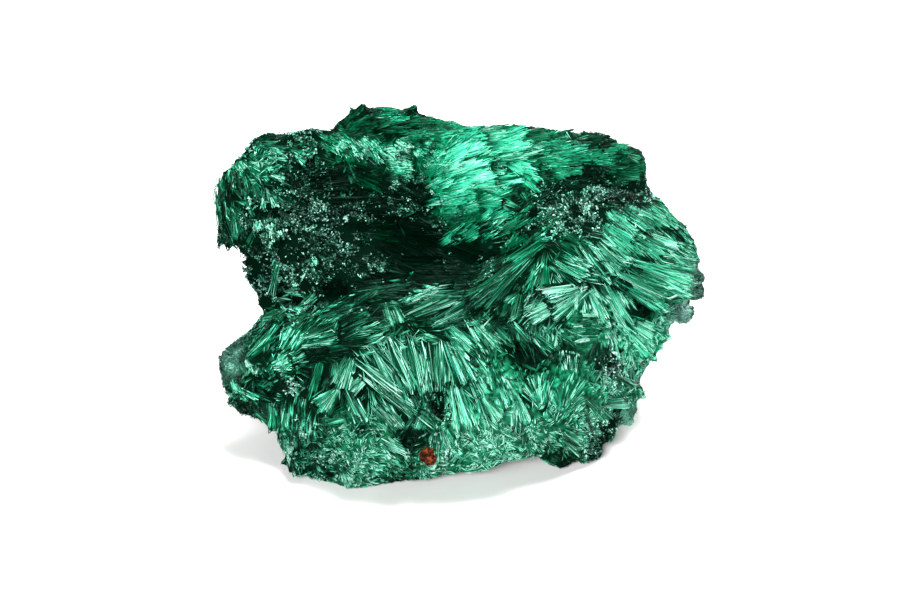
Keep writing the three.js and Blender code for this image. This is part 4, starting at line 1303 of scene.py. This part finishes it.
class MALACHITE_OT_ground(bpy.types.Operator):
    """Make the massive malachite that the needles grow on"""

    bl_idname = "malachite.ground"
    bl_label = "Ground"

    def execute(self, context):
        settings = context.scene.malachite
        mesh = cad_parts[SOLID].data.copy()
        source = bpy.data.objects.new("ground_source", mesh)
        context.scene.collection.objects.link(source)
        weld = source.modifiers.new("weld", "WELD")
        weld.merge_threshold = 0.001 * MM
        remesh = source.modifiers.new("remesh", "REMESH")
        remesh.mode = "VOXEL"
        remesh.voxel_size = settings.ground_step
        # The remeshed corners are cut short, so they're drawn back out onto the solid.
        wrap = source.modifiers.new("wrap", "SHRINKWRAP")
        wrap.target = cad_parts[SOLID]
        wrap.wrap_method = "NEAREST_SURFACEPOINT"
        # Massive malachite: earthy and rough, a dull green without a sheen.
        material = fibre_material(settings, "massive_malachite", 0.9, 0.03, 0.2, STONY_GREYS)
        run_tree(source, ground_tree(), inset=settings.ground_inset, rough_height=0.24 * MM,
                 grain_size=1.2 * MM, material=material)
        piece = made_plain(source, "ground")
        # It stays level where it rests.
        for vertex in piece.data.vertices:
            vertex.co.z = max(vertex.co.z, 0)
        tint_ground(piece.data, Fields(solid_surface()))
        finish_piece(piece)
        return {"FINISHED"}


class MALACHITE_OT_fans(bpy.types.Operator):
    """Grow the fans that show from the display side"""

    bl_idname = "malachite.fans"
    bl_label = "Fans"

    def execute(self, context):
        settings = context.scene.malachite
        # Fibrous malachite: close parallel needles, which give the eye a silky sheen along them.
        silk = fibre_material(settings, "malachite_silk", 0.4, 0.14, 0.4)
        # The same fibres deep in the hollow, where next to no sheen reaches the eye: a shaded copy of the
        # silk, whose weak sheen is painted shade.
        dark = fibre_material(settings, "dark_malachite_silk", 0.42, 0.05, 0.35)
        _, _, tree = solid_surface()
        pieces = {
            "silky_fans": ("back_ridge", "silk_band"),
            "upper_fans": ("left_crown", "stem", "saddle", "flank"),
            "lower_fans": ("hand", "belly", "side", "chin"),
            "dark_fans": ("basin",),
        }
        for number, (name, groups) in enumerate(pieces.items()):
            material = dark if name == "dark_fans" else silk
            rng = np.random.default_rng(100 + number)
            growth = Growth()
            for group in groups:
                for fan in FANS[group]:
                    grow_fan(growth, rng, settings, tree, fan, HABITS[group])
            finish_piece(needles_from(growth, name, material, shoulder=0.92))
        return {"FINISHED"}


class MALACHITE_OT_tufts(bpy.types.Operator):
    """Fill between the fans and over the far sides with tufts and matted needles"""

    bl_idname = "malachite.tufts"
    bl_label = "Tufts"

    def execute(self, context):
        settings = context.scene.malachite
        silk = bpy.data.materials["malachite_silk"]
        dark = bpy.data.materials["dark_malachite_silk"]
        surface = solid_surface()
        growths = {name: Growth() for name in TUFTS}
        grow_tufts(growths, np.random.default_rng(7), settings, surface, Fields(surface))
        for name, growth in growths.items():
            material = dark if name == "dark_tufts" else silk
            finish_piece(needles_from(growth, name, material))
        return {"FINISHED"}


class MALACHITE_OT_druse(bpy.types.Operator):
    """Crust the dark ledges and nodules with tiny stout crystals"""

    bl_idname = "malachite.druse"
    bl_label = "Druse"

    def execute(self, context):
        settings = context.scene.malachite
        # Malachite druse: small flat crystal faces, which sparkle over a dark grey-green crust.
        material = fibre_material(settings, "malachite_druse", 0.3, 0.3, 0.1, STONY_GREYS)
        surface = solid_surface()
        growth = Growth()
        grow_druse(growth, np.random.default_rng(11), settings, surface, Fields(surface))
        piece = needles_from(growth, "druse", material, shoulder=0.85, fringe=0.4 * MM)
        finish_piece(piece)
        return {"FINISHED"}


# The rusty grain's place in the view.
RUST_SPOT = (429, 455)


class MALACHITE_OT_rust(bpy.types.Operator):
    """Set the one rusty grain low on the front"""

    bl_idname = "malachite.rust"
    bl_label = "Rusty grain"

    def execute(self, context):
        settings = context.scene.malachite
        _, _, tree = solid_surface()
        place, _, _, _ = tree.ray_cast(EYE, sight(*RUST_SPOT))
        grain = bmesh.new()
        bmesh.ops.create_icosphere(grain, subdivisions=4, radius=1.0)
        for corner in grain.verts:
            rough = 1 + 0.5 * land.noise(corner.co * 1.4) + 0.3 * land.noise(corner.co * 4)
            corner.co = corner.co * rough
            corner.co = Vector((corner.co.x, corner.co.y * 0.7, corner.co.z * 1.05)) * MM
            corner.co += place + TOWARDS_EYE * 0.15 * MM
        mesh = bpy.data.meshes.new("rusty_grain")
        grain.to_mesh(mesh)
        grain.free()
        mesh.materials.append(rust_material(settings))
        piece = bpy.data.objects.new("rusty_grain", mesh)
        context.scene.collection.objects.link(piece)
        finish_piece(piece)
        return {"FINISHED"}


def facing_aim(place):
    """The placing of a lamp or the camera at a place, so that it faces the view's aim."""
    turn = (place - VIEW_AIM).to_track_quat("Z", "Y")
    return Matrix.Translation(place) @ turn.to_matrix().to_4x4()


class MALACHITE_OT_stage(bpy.types.Operator):
    """Set up the pale floor, the soft lights and the camera"""

    bl_idname = "malachite.stage"
    bl_label = "Stage"

    def execute(self, context):
        scene = context.scene
        mesh = bpy.data.meshes.new("floor")
        far = 3.0
        mesh.from_pydata([(-far, -far, 0), (far, -far, 0), (far, far, 0), (-far, far, 0)], [], [(0, 1, 2, 3)])
        floor = bpy.data.objects.new("floor", mesh)
        scene.collection.objects.link(floor)
        # Matt painted board: pale and even, so that it takes a soft shadow and no mirror image.
        material, _, shader = new_material("pale_floor")
        shader.inputs["Base Color"].default_value = (0.86, 0.86, 0.85, 1)
        shader.inputs["Roughness"].default_value = 0.6
        mesh.materials.append(material)
        floor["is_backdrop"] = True

        world = bpy.data.worlds.new("studio")
        scene.world = world
        world.use_nodes = True
        sky = world.node_tree.nodes["Background"]
        sky.inputs["Color"].default_value = (0.9, 0.95, 1.0, 1)
        sky.inputs["Strength"].default_value = 0.08
        for name, place, size, power in (
            ("overhead", (0.08, 0.04, 0.42), 0.20, 3.9),
            ("front", (-0.12, -0.42, 0.22), 0.20, 4.0),
            ("back", (0.16, 0.42, 0.16), 0.30, 3.2),
        ):
            light = bpy.data.lights.new(name, "AREA")
            light.size = size
            light.energy = power
            lamp = bpy.data.objects.new(name, light)
            lamp.matrix_world = facing_aim(Vector(place))
            scene.collection.objects.link(lamp)
        camera_data = bpy.data.cameras.new("camera")
        camera_data.sensor_width = 36
        camera_data.lens = 36 * VIEW_DISTANCE / VIEW_WIDTH
        camera_data.clip_start = 0.01
        camera_data.clip_end = 20
        camera = bpy.data.objects.new("camera", camera_data)
        camera.matrix_world = facing_aim(EYE)
        scene.collection.objects.link(camera)
        scene.camera = camera
        scene.view_settings.view_transform = "Standard"
        return {"FINISHED"}


class MALACHITE_PT_panel(bpy.types.Panel):
    """Lists the steps that build the specimen"""

    bl_label = "Malachite specimen"
    bl_idname = "MALACHITE_PT_panel"
    bl_space_type = "VIEW_3D"
    bl_region_type = "UI"
    bl_category = "Malachite"

    def draw(self, context):
        for name in MalachiteSettings.__annotations__:
            self.layout.prop(context.scene.malachite, name)
        for operator in OPERATORS:
            self.layout.operator(operator.bl_idname)


OPERATORS = (
    MALACHITE_OT_ground,
    MALACHITE_OT_fans,
    MALACHITE_OT_tufts,
    MALACHITE_OT_druse,
    MALACHITE_OT_rust,
    MALACHITE_OT_stage,
)
CLASSES = (MalachiteSettings, *OPERATORS, MALACHITE_PT_panel)


def register():
    """Registers the classes and the settings."""
    for item in CLASSES:
        bpy.utils.register_class(item)
    bpy.types.Scene.malachite = bpy.props.PointerProperty(type=MalachiteSettings)


def unregister():
    """Takes the settings and the classes away again."""
    del bpy.types.Scene.malachite
    for item in reversed(CLASSES):
        bpy.utils.unregister_class(item)


def main():
    """Makes the specimen and its stage."""
    register()
    for operator in OPERATORS:
        group, name = operator.bl_idname.split(".")
        getattr(getattr(bpy.ops, group), name)()
    sizes = {"cad": CAD_BOX, "visual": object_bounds()}
    sizes = {key: [list(corner) for corner in box] for key, box in sizes.items()}


if __name__ == "__main__":
    main()
